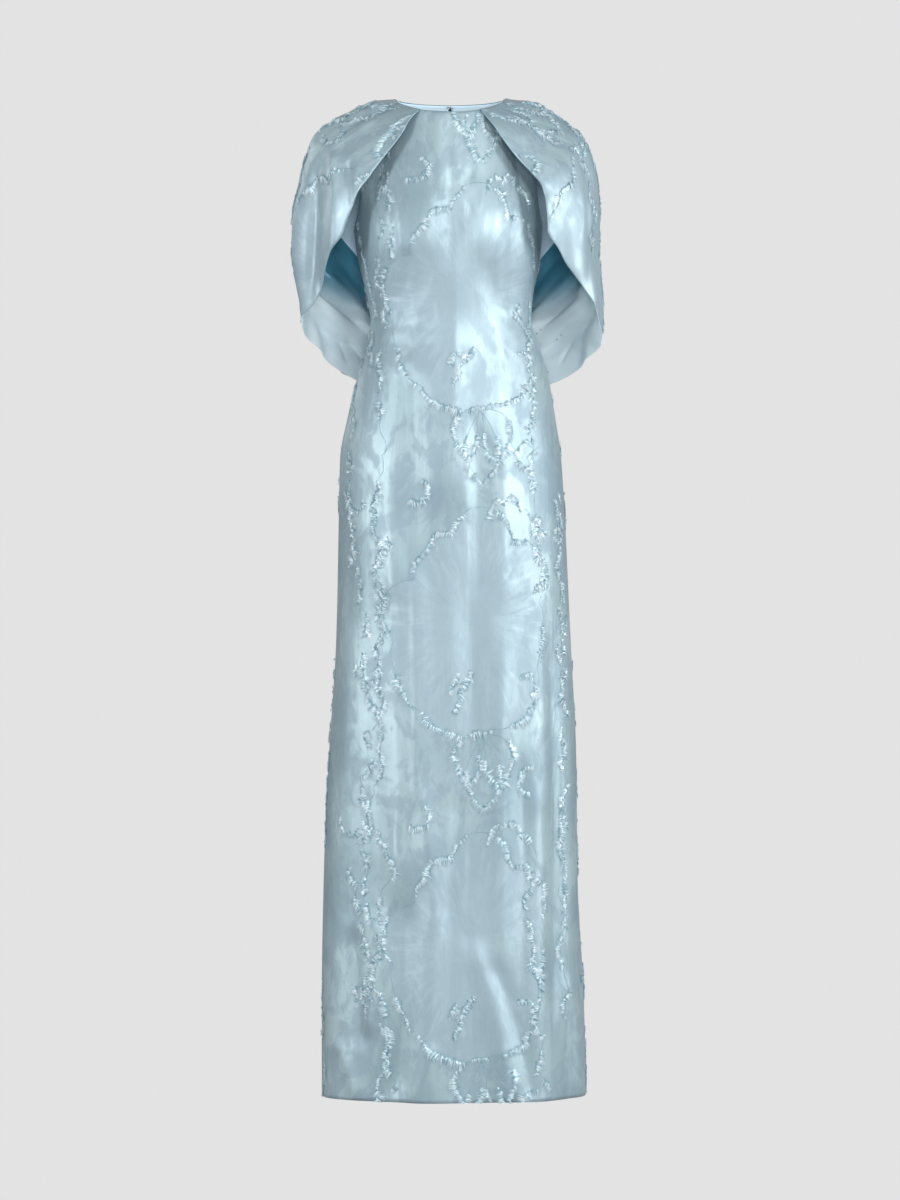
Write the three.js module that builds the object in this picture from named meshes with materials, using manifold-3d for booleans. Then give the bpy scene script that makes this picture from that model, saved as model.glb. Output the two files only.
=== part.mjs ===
// Floor-length column gown with a short open-fronted cape sewn in at its neckline, as worn, with no wearer.
// Millimetres, +Z up. The front faces -Y, and +X is to the right of someone who looks at the front.
// The origin is on the shoulder line, midway between the two points where a shoulder seam meets the neckline.
import * as THREE from "three";
import Module from "manifold-3d";

const wasm = await Module();
wasm.setup();
const { Manifold, Mesh: SolidMesh } = wasm;

// ---------------------------------------------------------------- driving dimensions

const HEM_DROP = 1590; // shoulder neck point down to the hem
const CLOTH = 1.2; // wall of every panel
const FACING = 1; // wall of a facing
const SEAM_GAP = 0.3; // between two pieces at a seam, and between a piece and what it lies on
const ARMHOLE_DROP = 205; // shoulder neck point down to the bottom of the armhole

const NECK = { halfWidth: 86, front: 72, back: 50, frontDrop: 27, backDrop: 3 };
const SHOULDER = { run: 60, fall: 20, back: 4 }; // from the neck point to the armhole
const NECK_SHARE = 0.6; // share of a panel's half width that lies under the neckline, not the shoulder seam
const CHEST_FULLNESS = { front: 6, frontSide: 34, back: 9, backSide: 27, armholeCut: 11 };
const SECTION_POWER = 0.93; // 1 is an ellipse, and less is squarer

// Level sections of the dress: drop below the shoulder, reach to each side, depth to the front and back.
const SECTIONS = [
  { drop: 205, left: 153, right: 148, front: 97, back: 90 },
  { drop: 240, left: 150, right: 145, front: 99, back: 87 },
  { drop: 274, left: 143, right: 141, front: 97, back: 83 },
  { drop: 312, left: 133, right: 133, front: 93, back: 79 },
  { drop: 354, left: 127, right: 130, front: 90, back: 78 },
  { drop: 395, left: 133, right: 143, front: 93, back: 86 },
  { drop: 443, left: 148, right: 157, front: 99, back: 100 },
  { drop: 500, left: 162, right: 167, front: 104, back: 114 },
  { drop: 576, left: 176, right: 178, front: 107, back: 122 },
  { drop: 672, left: 178, right: 184, front: 108, back: 121 },
  { drop: 864, left: 182, right: 193, front: 109, back: 116 },
  { drop: 1056, left: 194, right: 202, front: 112, back: 116 },
  { drop: 1248, left: 202, right: 204, front: 117, back: 121 },
  { drop: 1440, left: 205, right: 214, front: 122, back: 128 },
  { drop: 1590, left: 205, right: 217, front: 125, back: 134 },
];

const BUST = { side: 72, drop: 212, rise: 15, halfWidth: 46, halfHeight: 58 };

// Soft upright folds of the skirt: degrees from the centre front, how far each stands out at the hem,
// its half width in degrees, and the drop at which it starts.
const SKIRT_FOLDS = [
  { angle: -66, depth: 5, spread: 10, from: 900 },
  { angle: -34, depth: -5, spread: 12, from: 760 },
  { angle: -8, depth: 6, spread: 9, from: 980 },
  { angle: 18, depth: -5, spread: 10, from: 860 },
  { angle: 38, depth: 7, spread: 9, from: 700 },
  { angle: 62, depth: -4, spread: 8, from: 620 },
  { angle: 108, depth: 6, spread: 11, from: 740 },
  { angle: 136, depth: -7, spread: 10, from: 640 },
  { angle: 160, depth: 8, spread: 10, from: 600 },
  { angle: -112, depth: 5, spread: 11, from: 820 },
  { angle: -138, depth: -6, spread: 10, from: 700 },
  { angle: -163, depth: 8, spread: 11, from: 620 },
];

// Rings of the cape from the neck seam to its hem. Each is half an ellipse on either side: reach and drop at
// each side, depth and drop at the centre back, the same at the front, and the angle from either side, in
// degrees, at which the front edge crosses it.
const CAPE_RINGS = [
  { ring: 0, left: 88, right: 88, leftDrop: -2, rightDrop: -2,
    back: 52, backDrop: 2, front: 74, frontDrop: 26, leftEdge: 57, rightEdge: 57 },
  { ring: 0.5, left: 120, right: 116, leftDrop: 1, rightDrop: 1,
    back: 56, backDrop: 11, front: 83, frontDrop: 46, leftEdge: 58, rightEdge: 58 },
  { ring: 1, left: 142, right: 141, leftDrop: 9, rightDrop: 9,
    back: 61, backDrop: 22, front: 92, frontDrop: 66, leftEdge: 59, rightEdge: 58 },
  { ring: 2, left: 190, right: 184, leftDrop: 34, rightDrop: 34,
    back: 76, backDrop: 52, front: 104, frontDrop: 115, leftEdge: 56, rightEdge: 55 },
  { ring: 3, left: 218, right: 212, leftDrop: 57, rightDrop: 57,
    back: 90, backDrop: 88, front: 112, frontDrop: 143, leftEdge: 55, rightEdge: 52.5 },
  { ring: 4, left: 231, right: 226, leftDrop: 89, rightDrop: 89,
    back: 102, backDrop: 128, front: 118, frontDrop: 169, leftEdge: 52, rightEdge: 49.5 },
  { ring: 5, left: 241, right: 237, leftDrop: 134, rightDrop: 134,
    back: 113, backDrop: 172, front: 121, frontDrop: 198, leftEdge: 50, rightEdge: 50 },
  { ring: 6, left: 251, right: 240, leftDrop: 186, rightDrop: 186,
    back: 124, backDrop: 222, front: 120, frontDrop: 227, leftEdge: 49, rightEdge: 50 },
  { ring: 7, left: 252, right: 238, leftDrop: 240, rightDrop: 240,
    back: 134, backDrop: 278, front: 114, frontDrop: 263, leftEdge: 43, rightEdge: 41 },
  { ring: 8, left: 245, right: 243, leftDrop: 292, rightDrop: 296,
    back: 143, backDrop: 340, front: 104, frontDrop: 311, leftEdge: 32, rightEdge: 31 },
  { ring: 9, left: 238, right: 247, leftDrop: 328, rightDrop: 338,
    back: 150, backDrop: 407, front: 94, frontDrop: 359, leftEdge: 19, rightEdge: 19 },
  { ring: 10, left: 236, right: 245, leftDrop: 362, rightDrop: 373,
    back: 155, backDrop: 474, front: 84, frontDrop: 370, leftEdge: 1, rightEdge: 1 },
];
const LAST_RING = CAPE_RINGS.at(-1).ring;
const BACK_SAG = { left: 1.25, right: 0.97 }; // how late the hem's drop grows from a side to the centre back

// Upright folds of the cape: which side, degrees from the side towards the back, depth, half width, first ring.
const CAPE_FOLDS = [
  { side: -1, angle: -44, depth: 8, spread: 6, from: 2.5 },
  { side: -1, angle: -30, depth: -6, spread: 6, from: 3 },
  { side: -1, angle: -12, depth: 5, spread: 7, from: 4 },
  { side: 1, angle: -40, depth: -6, spread: 5, from: 3.5 },
  { side: 1, angle: -26, depth: 6, spread: 7, from: 3 },
  { side: 1, angle: -8, depth: -4, spread: 7, from: 4 },
  { side: -1, angle: 22, depth: -9, spread: 6, from: 7 },
  { side: 1, angle: 22, depth: -9, spread: 6, from: 7 },
];

// Swags that sag across the back between the elbows: drop at the side and the centre back, depth, half height.
const CAPE_SWAGS = [
  { sideDrop: 205, backDrop: 352, depth: 7, spread: 17 },
  { sideDrop: 240, backDrop: 388, depth: -10, spread: 15 },
  { sideDrop: 300, backDrop: 420, depth: 7, spread: 15 },
];

const KEYHOLE = { top: 2, bottom: 128, halfWidth: 14, lowness: 1.15 }; // slit at the cape's centre back
const NAPE_GAP = { top: 3, bottom: 27, halfWidth: 3.6 }; // where the dress's back edges part above the zip
const CAPE_FACING_EDGE = [ // lower edge of each cape facing, seen from the front
  { side: 260, drop: 128 },
  { side: 176, drop: 214 },
  { side: 146, drop: 248 },
  { side: 90, drop: 300 },
  { side: 0, drop: 318 },
];

// Centre-back zip: its slider, the bridge on the slider, and the pull tab whose crossbar lies under the bridge.
const SLIDER = { drop: 43, width: 6.6, nose: 4, thickness: 2.4, length: 11 };
const BRIDGE = { width: 2, length: 8, post: 1.4, clear: 1.8, bar: 1.2 };
const PULL = { length: 22, thickness: 0.8, crossbar: 0.8, window: 5.6, windowWidth: 3.4 };
const PULL_OUTLINE = [ // half width of the pull tab at each distance from its hinge
  { along: -0.4, half: 2.5 },
  { along: 0.6, half: 2.9 },
  { along: 5.4, half: 2.9 },
  { along: 9, half: 1.7 },
  { along: 14, half: 2.1 },
  { along: 18.5, half: 2.8 },
  { along: 20.6, half: 2.2 },
  { along: 21.6, half: 0.9 },
];
const HOOK_AND_EYE = { drop: 6, wire: 0.4, legs: 6, reach: 1.6, halfHeight: 1.5, arch: 1.7 };

// ---------------------------------------------------------------- curves and small helpers

const radians = THREE.MathUtils.degToRad;
const clamp01 = (x) => Math.min(1, Math.max(0, x));
const lerp = (a, b, t) => a + (b - a) * t;
const smooth = (t) => clamp01(t) ** 2 * (3 - 2 * clamp01(t));
const hump = (x, centre, spread) => Math.exp(-(((x - centre) / spread) ** 2));
const signedPower = (x, power) => Math.sign(x) * Math.abs(x) ** power;

// A smooth curve through one column of a table against another, which never overshoots its rows.
function curveThrough(rows, along, column) {
  const x = rows.map((row) => row[along]);
  const y = rows.map((row) => row[column]);
  const slope = x.slice(1).map((_, i) => (y[i + 1] - y[i]) / (x[i + 1] - x[i]));
  const tangent = x.map((_, i) => {
    const before = slope[Math.max(0, i - 1)];
    const after = slope[Math.min(i, slope.length - 1)];
    return before * after <= 0 ? 0 : (2 * before * after) / (before + after);
  });
  return (at) => {
    let i = 0;
    while (i < x.length - 2 && at > x[i + 1]) i += 1;
    const run = x[i + 1] - x[i];
    const t = clamp01((at - x[i]) / run);
    const [t2, t3] = [t * t, t * t * t];
    return (
      (2 * t3 - 3 * t2 + 1) * y[i] +
      (t3 - 2 * t2 + t) * run * tangent[i] +
      (3 * t2 - 2 * t3) * y[i + 1] +
      (t3 - t2) * run * tangent[i + 1]
    );
  };
}

const curves = (rows, along) =>
  Object.fromEntries(Object.keys(rows[0]).map((name) => [name, curveThrough(rows, along, name)]));
const section = curves(SECTIONS, "drop");
const cape = curves(CAPE_RINGS, "ring");

// ---------------------------------------------------------------- the dress's surface

// The neckline at an angle from the side (0) to the centre front (-90) or centre back (90).
function neckPoint(side, angle) {
  const turn = radians(angle);
  const share = Math.abs(Math.sin(turn));
  const [depth, drop] = angle < 0 ? [NECK.front, NECK.frontDrop] : [NECK.back, NECK.backDrop];
  return new THREE.Vector3(
    side * NECK.halfWidth * Math.cos(turn),
    depth * Math.sin(turn),
    -drop * share ** 1.1,
  );
}

// The neckline and shoulder seam at a share u of the panel's half width: 0 at the centre, 1 at the armhole.
function topEdge(u, face) {
  const share = Math.abs(u);
  const side = Math.sign(u) || 1;
  if (share <= NECK_SHARE) return neckPoint(side, face * 90 * (1 - share / NECK_SHARE));
  const t = (share - NECK_SHARE) / (1 - NECK_SHARE);
  return new THREE.Vector3(
    side * (NECK.halfWidth + t * SHOULDER.run),
    t * SHOULDER.back,
    -SHOULDER.fall * t ** 1.2,
  );
}

// A point of a level section: u runs from the centre (0) to the side seams (-1 and 1); face is -1 front, 1 back.
function sectionPoint(u, drop, face) {
  const turn = u * (Math.PI / 2);
  const reach = section[u < 0 ? "left" : "right"](drop);
  const depth = section[face < 0 ? "front" : "back"](drop);
  const degrees = face < 0 ? u * 90 : Math.sign(u || 1) * (180 - Math.abs(u) * 90);
  const fold = SKIRT_FOLDS.reduce((sum, row) => {
    const grown = clamp01((drop - row.from) / (HEM_DROP - row.from)) ** 1.2;
    return sum + row.depth * grown * hump(degrees, row.angle, row.spread);
  }, 0);
  const sine = signedPower(Math.sin(turn), SECTION_POWER);
  const cosine = Math.max(0, Math.cos(turn)) ** SECTION_POWER;
  return new THREE.Vector3(
    reach * sine + fold * Math.sin(turn),
    face * (depth * cosine + fold * Math.cos(turn)),
    -drop,
  );
}

// The dress's outer surface. Below the armhole it is the level section; above it, the surface runs from the
// section at the armhole up to the neckline and shoulder seam, filled out over the chest and shoulder blades.
function dressPoint(u, drop, face) {
  let point;
  if (drop >= ARMHOLE_DROP) {
    point = sectionPoint(u, drop, face);
  } else {
    const top = topEdge(u, face);
    const t = clamp01((ARMHOLE_DROP - drop) / (ARMHOLE_DROP + top.z));
    point = sectionPoint(u, ARMHOLE_DROP, face).lerp(top, t);
    const arch = Math.sin(Math.PI * t) ** 0.9;
    const [middle, side] =
      face < 0
        ? [CHEST_FULLNESS.front, CHEST_FULLNESS.frontSide]
        : [CHEST_FULLNESS.back, CHEST_FULLNESS.backSide];
    point.x -= Math.sign(u) * CHEST_FULLNESS.armholeCut * u ** 6 * arch;
    point.y += face * (middle + side * u * u) * arch;
  }
  if (face < 0) {
    const near = hump(Math.abs(point.x), BUST.side, BUST.halfWidth) * hump(drop, BUST.drop, BUST.halfHeight);
    point.y -= BUST.rise * near;
  }
  return point;
}

// Rows of a dress panel: even steps below the armhole, and named shares of the height from there to its top.
const LOWER_ROWS = [
  { from: HEM_DROP, to: 640, rows: 11 },
  { from: 640, to: ARMHOLE_DROP, rows: 12 },
];
const CHEST_SHARES = [0.17, 0.33, 0.5, 0.62, 0.84, 0.88, 0.93, 0.97, 1];
const ARMHOLE_ROW = LOWER_ROWS.reduce((sum, zone) => sum + zone.rows, 0);
const DRESS_ROWS = ARMHOLE_ROW + CHEST_SHARES.length;
function dropAtRow(row, u, face) {
  let below = row;
  for (const zone of LOWER_ROWS) {
    if (below <= zone.rows) return lerp(zone.from, zone.to, below / zone.rows);
    below -= zone.rows;
  }
  return lerp(ARMHOLE_DROP, -topEdge(u, face).z, CHEST_SHARES[below - 1]);
}

// ---------------------------------------------------------------- the cape's surface

// side is -1 left, 1 right; angle is in degrees from the side, negative to the front and 90 at the centre back.
function ringPoint(side, angle, ring) {
  const turn = radians(angle);
  const sine = Math.sin(turn);
  const share = Math.abs(sine);
  const [sideName, end] = [side < 0 ? "left" : "right", sine < 0 ? "front" : "back"];
  const sag = sine < 0 ? share : share ** lerp(1, BACK_SAG[sideName], ring / LAST_RING);
  const drop = lerp(cape[sideName + "Drop"](ring), cape[end + "Drop"](ring), sag);
  const folds = CAPE_FOLDS.filter((row) => row.side === side).reduce(
    (sum, row) => sum + row.depth * smooth((ring - row.from) / 3) * hump(angle, row.angle, row.spread),
    0,
  );
  const swags = CAPE_SWAGS.reduce((sum, row) => {
    const middle = lerp(row.sideDrop, row.backDrop, Math.max(0, sine));
    return sum + row.depth * hump(drop, middle, row.spread);
  }, 0);
  const out = folds + swags * smooth((angle - 4) / 22);
  return new THREE.Vector3(
    side * (cape[sideName](ring) + out) * Math.cos(turn),
    Math.sign(sine) * (cape[end](ring) + out) * share,
    -drop,
  );
}

// The cape starts on the dress's neckline, moved out by a wall and a seam's gap, and leaves it by ring 1.
function capePoint(side, angle, ring) {
  const point = ringPoint(side, angle, ring);
  if (ring >= 1) return point;
  const turn = radians(angle);
  const away = new THREE.Vector3(
    side * 0.33 * Math.cos(turn),
    0.95 * Math.sin(turn),
    lerp(0.94, 0.33, Math.abs(Math.sin(turn))),
  ).normalize();
  const seam = neckPoint(side, angle).addScaledVector(away, CLOTH + 1.4 * SEAM_GAP);
  return point.add(seam.sub(ringPoint(side, angle, 0)).multiplyScalar(1 - smooth(ring)));
}

// ---------------------------------------------------------------- walls

// A grid of points with the outward normal at each, which mitre(i, j, normal) turns at seams.
function makeSurface(columns, rows, pointAt, mitre = () => {}) {
  const points = [];
  for (let j = 0; j <= rows; j += 1) for (let i = 0; i <= columns; i += 1) points.push(pointAt(i, j));
  const at = (i, j) => points[clampTo(j, rows) * (columns + 1) + clampTo(i, columns)];
  const normalAt = (i, j) => {
    const across = at(i + 1, j).clone().sub(at(i - 1, j));
    const along = at(i, j + 1).clone().sub(at(i, j - 1));
    return across.cross(along).normalize();
  };
  const [middle, half] = [columns >> 1, rows >> 1];
  const side = Math.sign(normalAt(middle, half).dot(at(middle, half).clone().setZ(0))) || 1;
  const normals = points.map((_, k) => {
    const [i, j] = [k % (columns + 1), Math.floor(k / (columns + 1))];
    const normal = normalAt(i, j).multiplyScalar(side);
    mitre(i, j, normal);
    return normal.normalize();
  });
  return { columns, rows, points, normals, side };
}
const clampTo = (i, last) => Math.min(last, Math.max(0, i));

// A closed wall over part of a surface: its outer face is moved out by `lift`, and its inner face lies
// `thickness` inside that. The part runs over columns from..to and rows bottom..top.
function wallOn(surface, thickness, part = {}) {
  const { lift = 0, from = 0, to = surface.columns, bottom = 0, top = surface.rows } = part;
  const [outer, inner, index] = [[], [], []];
  for (let j = bottom; j <= top; j += 1)
    for (let i = from; i <= to; i += 1) {
      const k = j * (surface.columns + 1) + i;
      outer.push(surface.points[k].clone().addScaledVector(surface.normals[k], lift));
      inner.push(surface.points[k].clone().addScaledVector(surface.normals[k], lift - thickness));
    }
  const [columns, rows, wide, back] = [to - from, top - bottom, to - from + 1, outer.length];
  const quad = (a, b, c, d) =>
    surface.side > 0 ? index.push(a, b, c, a, c, d) : index.push(a, c, b, a, d, c);
  for (let j = 0; j < rows; j += 1)
    for (let i = 0; i < columns; i += 1) {
      const [a, b, c, d] = [j * wide + i, j * wide + i + 1, (j + 1) * wide + i + 1, (j + 1) * wide + i];
      quad(a, b, c, d);
      quad(a + back, d + back, c + back, b + back);
    }
  const rim = (a, b) => quad(b, a, a + back, b + back);
  for (let i = 0; i < columns; i += 1) {
    rim(i, i + 1);
    rim(rows * wide + i + 1, rows * wide + i);
  }
  for (let j = 0; j < rows; j += 1) {
    rim((j + 1) * wide, j * wide);
    rim(j * wide + columns, (j + 1) * wide + columns);
  }
  const geometry = new THREE.BufferGeometry().setFromPoints([...outer, ...inner]);
  geometry.setIndex(index);
  return geometry;
}

// ---------------------------------------------------------------- solids

function toSolid(geometry) {
  const mesh = new SolidMesh({
    numProp: 3,
    vertProperties: new Float32Array(geometry.getAttribute("position").array),
    triVerts: new Uint32Array(geometry.index.array),
  });
  return new Manifold(mesh);
}

function toGeometry(solid) {
  const mesh = solid.getMesh();
  const geometry = new THREE.BufferGeometry();
  geometry.setAttribute("position", new THREE.BufferAttribute(Float32Array.from(mesh.vertProperties), 3));
  geometry.setIndex([...mesh.triVerts]);
  return geometry;
}

const box = (x, y, z) => Manifold.cube([x, y, z], true);

// A round wire along a list of points, closed by flat ends.
function wire(path, radius, sides = 6) {
  const curve = new THREE.CatmullRomCurve3(path);
  const steps = path.length * 2;
  const frames = curve.computeFrenetFrames(steps, false);
  const positions = [];
  for (let k = 0; k <= steps; k += 1) {
    const centre = curve.getPointAt(k / steps);
    for (let s = 0; s < sides; s += 1) {
      const turn = (s / sides) * 2 * Math.PI;
      positions.push(
        centre
          .clone()
          .addScaledVector(frames.normals[k], radius * Math.cos(turn))
          .addScaledVector(frames.binormals[k], radius * Math.sin(turn)),
      );
    }
  }
  const index = [];
  for (let k = 0; k < steps; k += 1)
    for (let s = 0; s < sides; s += 1) {
      const [a, b] = [k * sides + s, k * sides + ((s + 1) % sides)];
      index.push(a, b, b + sides, a, b + sides, a + sides);
    }
  const last = steps * sides;
  for (let s = 1; s < sides - 1; s += 1) {
    index.push(0, s + 1, s);
    index.push(last, last + s, last + s + 1);
  }
  const geometry = new THREE.BufferGeometry().setFromPoints(positions);
  geometry.setIndex(index);
  return geometry;
}

const gown = new THREE.Group();
function add(name, geometry, finish) {
  geometry.computeVertexNormals();
  const mesh = new THREE.Mesh(geometry, new THREE.MeshStandardMaterial(finish));
  mesh.name = name;
  gown.add(mesh);
  return mesh;
}
const SATIN = { color: 0xb4ced8, roughness: 0.38, metalness: 0 };
const SATIN_BACK = { color: 0xa9cbd8, roughness: 0.45, metalness: 0 };
const METAL = { color: 0x9fb0b8, roughness: 0.3, metalness: 1 };
const SIDES = [
  { name: "left", side: -1 },
  { name: "right", side: 1 },
];

// ---------------------------------------------------------------- dress panels

const FRONT_COLUMNS = 20;
const BACK_COLUMNS = 10;
const NEAR_ZERO = 1e-6; // keeps the sign of the side that a centre-back column belongs to

// 1 on a side or shoulder seam, and falling to 0 away from it.
const seamShare = (row, u) =>
  Math.max(Math.abs(u) ** 8, smooth(row - DRESS_ROWS + 1) * smooth((Math.abs(u) - NECK_SHARE) / 0.1 + 1));

// Half the gap at the centre back: a seam's gap, and more where the edges part at the nape.
function backEdgeGap(drop) {
  const t = clamp01((drop - NAPE_GAP.top) / (NAPE_GAP.bottom - NAPE_GAP.top));
  return SEAM_GAP / 2 + NAPE_GAP.halfWidth * Math.sin(Math.PI * t) ** 1.4;
}

function dressSurface(columns, uAt, face) {
  const pointAt = (i, row) => {
    const u = uAt(i);
    const drop = dropAtRow(row, u, face);
    const point = dressPoint(u, drop, face);
    point.y += face * (SEAM_GAP / 2) * seamShare(row, u);
    if (face > 0) point.x += Math.sign(u) * backEdgeGap(drop) * (1 - Math.abs(u)) ** 6;
    return point;
  };
  const mitre = (i, row, normal) => {
    const u = uAt(i);
    if (Math.abs(u) === 1 && row <= ARMHOLE_ROW) normal.y = 0;
    if (row === DRESS_ROWS && Math.abs(u) >= NECK_SHARE - NEAR_ZERO) normal.y = 0;
    if (face > 0 && Math.abs(u) <= NEAR_ZERO) normal.x = 0;
  };
  return makeSurface(columns, DRESS_ROWS, pointAt, mitre);
}

add("gown_front", wallOn(dressSurface(FRONT_COLUMNS, (i) => (2 * i) / FRONT_COLUMNS - 1, -1), CLOTH), SATIN);

// Each back panel, and the neck facing that lines it from the neckline to the fourth row down.
for (const { name, side } of SIDES) {
  const surface = dressSurface(BACK_COLUMNS, (i) => side * Math.max(NEAR_ZERO, i / BACK_COLUMNS), 1);
  add("gown_back_" + name, wallOn(surface, CLOTH), SATIN);
  const to = Math.round(BACK_COLUMNS * NECK_SHARE);
  add(
    "neck_facing_" + name,
    wallOn(surface, FACING, { lift: -(CLOTH + SEAM_GAP), to, bottom: DRESS_ROWS - 4 }),
    SATIN_BACK,
  );
}

// ---------------------------------------------------------------- cape and its facings

const CAPE_COLUMNS = 24;
const CAPE_ROWS = 20;

// Half the width of the slit at the cape's centre back at a drop below the shoulder.
function keyholeHalf(drop) {
  const t = clamp01((drop - KEYHOLE.top) / (KEYHOLE.bottom - KEYHOLE.top));
  return SEAM_GAP / 2 + KEYHOLE.halfWidth * Math.sin(Math.PI * t ** KEYHOLE.lowness);
}

// A facing covers what lies above its lower edge in the front view.
function facingCutter(side) {
  const outline = new THREE.Shape();
  outline.moveTo(-1, 40);
  outline.lineTo(CAPE_FACING_EDGE[0].side, 40);
  CAPE_FACING_EDGE.forEach((row) => outline.lineTo(row.side, -row.drop));
  outline.lineTo(-1, -CAPE_FACING_EDGE.at(-1).drop);
  const points = outline.getPoints().map((point) => [side * point.x, point.y]);
  if (side > 0) points.reverse();
  return Manifold.extrude(points, 400)
    .rotate([90, 0, 0])
    .translate([0, 400, 0]);
}

for (const { name, side } of SIDES) {
  const pointAt = (i, j) => {
    const share = i / CAPE_COLUMNS;
    const ring = (j / CAPE_ROWS) * LAST_RING;
    const point = capePoint(side, lerp(-cape[name + "Edge"](ring), 90, share), ring);
    point.x += side * keyholeHalf(-point.z) * share ** 8;
    return point;
  };
  const mitre = (i, j, normal) => {
    if (i === CAPE_COLUMNS) normal.x = 0;
  };
  const surface = makeSurface(CAPE_COLUMNS, CAPE_ROWS, pointAt, mitre);
  add("cape_" + name, wallOn(surface, CLOTH), SATIN);
  const lining = toSolid(wallOn(surface, FACING, { lift: -(CLOTH + SEAM_GAP), from: 12, bottom: 1, top: 15 }));
  add("cape_facing_" + name, toGeometry(lining.intersect(facingCutter(side))), SATIN_BACK);
}

// ---------------------------------------------------------------- fastenings at the centre back

// A place on the seam between the two back panels: x across, y down along the seam, z out from the cloth.
function backFrame(drop) {
  const seamPoint = (row) => dressPoint(0, dropAtRow(row, 0, 1), 1);
  let row = ARMHOLE_ROW;
  while (-seamPoint(row + 1).z > drop) row += 1;
  const [lower, upper] = [seamPoint(row), seamPoint(row + 1)];
  const down = lower.clone().sub(upper).normalize();
  const origin = upper.clone().lerp(lower, (drop + upper.z) / (upper.z - lower.z));
  const out = new THREE.Vector3(1, 0, 0).cross(down);
  return new THREE.Matrix4().makeBasis(new THREE.Vector3(1, 0, 0), down, out).setPosition(origin);
}

// Zip slider: a body with a narrower nose, and the bridge that holds the pull tab.
const zipFrame = backFrame(SLIDER.drop);
const bodyTop = SEAM_GAP + SLIDER.thickness;
const [halfWidth, halfNose, halfLength] = [SLIDER.width / 2, SLIDER.nose / 2, SLIDER.length / 2];
const body = Manifold.extrude(
  [
    [-halfNose, -halfLength],
    [halfNose, -halfLength],
    [halfWidth, -halfLength * 0.4],
    [halfWidth, halfLength],
    [-halfWidth, halfLength],
    [-halfWidth, -halfLength * 0.4],
  ],
  SLIDER.thickness,
).translate([0, 0, SEAM_GAP]);
const bridgeHeight = BRIDGE.clear + BRIDGE.bar;
const underBridge = box(BRIDGE.width * 2, BRIDGE.length - 2 * BRIDGE.post, BRIDGE.clear);
const bridge = box(BRIDGE.width, BRIDGE.length, bridgeHeight)
  .translate([0, 0, bodyTop + bridgeHeight / 2])
  .subtract(underBridge.translate([0, 0, bodyTop + BRIDGE.clear / 2]));
add("zip_slider", toGeometry(body.add(bridge).transform(zipFrame.elements)), METAL);

// Pull tab, hanging from its crossbar, which lies across under the bridge by the lower post.
const hinge = {
  along: BRIDGE.length / 2 - BRIDGE.post - SEAM_GAP - PULL.crossbar * 0.75,
  out: bodyTop + BRIDGE.clear / 2,
};
const pullSide = (sign) => PULL_OUTLINE.map((row) => [sign * row.half, hinge.along + row.along]);
const pull = Manifold.extrude([...pullSide(1), ...pullSide(-1).reverse()], PULL.thickness)
  .translate([0, 0, hinge.out - PULL.thickness / 2])
  .subtract(
    box(PULL.windowWidth, PULL.window, PULL.thickness * 2)
      .translate([0, hinge.along + PULL.crossbar / 2 + PULL.window / 2, hinge.out]),
  );
add("zip_pull", toGeometry(pull.transform(zipFrame.elements)), METAL);

// Hook and eye inside the top edge of the back neck. Both wires lie on the facings, which turn away from the
// centre line, so each point is moved in by that turn. A row is across, down, and in from the facing.
const napeFrame = backFrame(HOOK_AND_EYE.drop);
const facingTurn = (() => {
  const centre = dressPoint(NEAR_ZERO, HOOK_AND_EYE.drop, 1);
  const aside = dressPoint(1 / BACK_COLUMNS, HOOK_AND_EYE.drop, 1);
  return (centre.y - aside.y) / (aside.x - centre.x);
})();
const onFacing = ({ across, down, rise }) =>
  new THREE.Vector3(
    across,
    down,
    -(CLOTH + 2 * SEAM_GAP + FACING + HOOK_AND_EYE.wire) - facingTurn * Math.abs(across) - rise,
  ).applyMatrix4(napeFrame);
const { legs, reach, halfHeight, arch } = HOOK_AND_EYE;
const eyePath = [
  { across: -legs, down: halfHeight * 0.8, rise: 0 },
  { across: -legs / 2, down: halfHeight, rise: 0 },
  { across: 0, down: halfHeight * 0.95, rise: 0 },
  { across: reach, down: 0, rise: 0 },
  { across: 0, down: -halfHeight * 0.95, rise: 0 },
  { across: -legs / 2, down: -halfHeight, rise: 0 },
  { across: -legs, down: -halfHeight * 0.8, rise: 0 },
];
const hookPath = [
  { across: legs * 1.2, down: 0, rise: 0 },
  { across: legs * 0.75, down: 0, rise: 0 },
  { across: reach + 1.5, down: 0, rise: arch * 0.6 },
  { across: reach - 0.2, down: 0, rise: arch },
  { across: reach - 1.9, down: 0, rise: arch * 0.9 },
  { across: reach - 2.5, down: 0, rise: arch * 0.1 },
];
add("eye", wire(eyePath.map(onFacing), HOOK_AND_EYE.wire), METAL);
add("hook", wire(hookPath.map(onFacing), HOOK_AND_EYE.wire), METAL);

export default gown;
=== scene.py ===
"""Cape gown: a floor-length satin column with a short open-fronted cape, shown as worn with no wearer.

Everything is in metres in the part's own frame: the front faces -Y, +Z is up, and the origin is on the
shoulder line. Each surface is a grid worked out with numpy, and each section makes one piece or group.
"""

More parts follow.
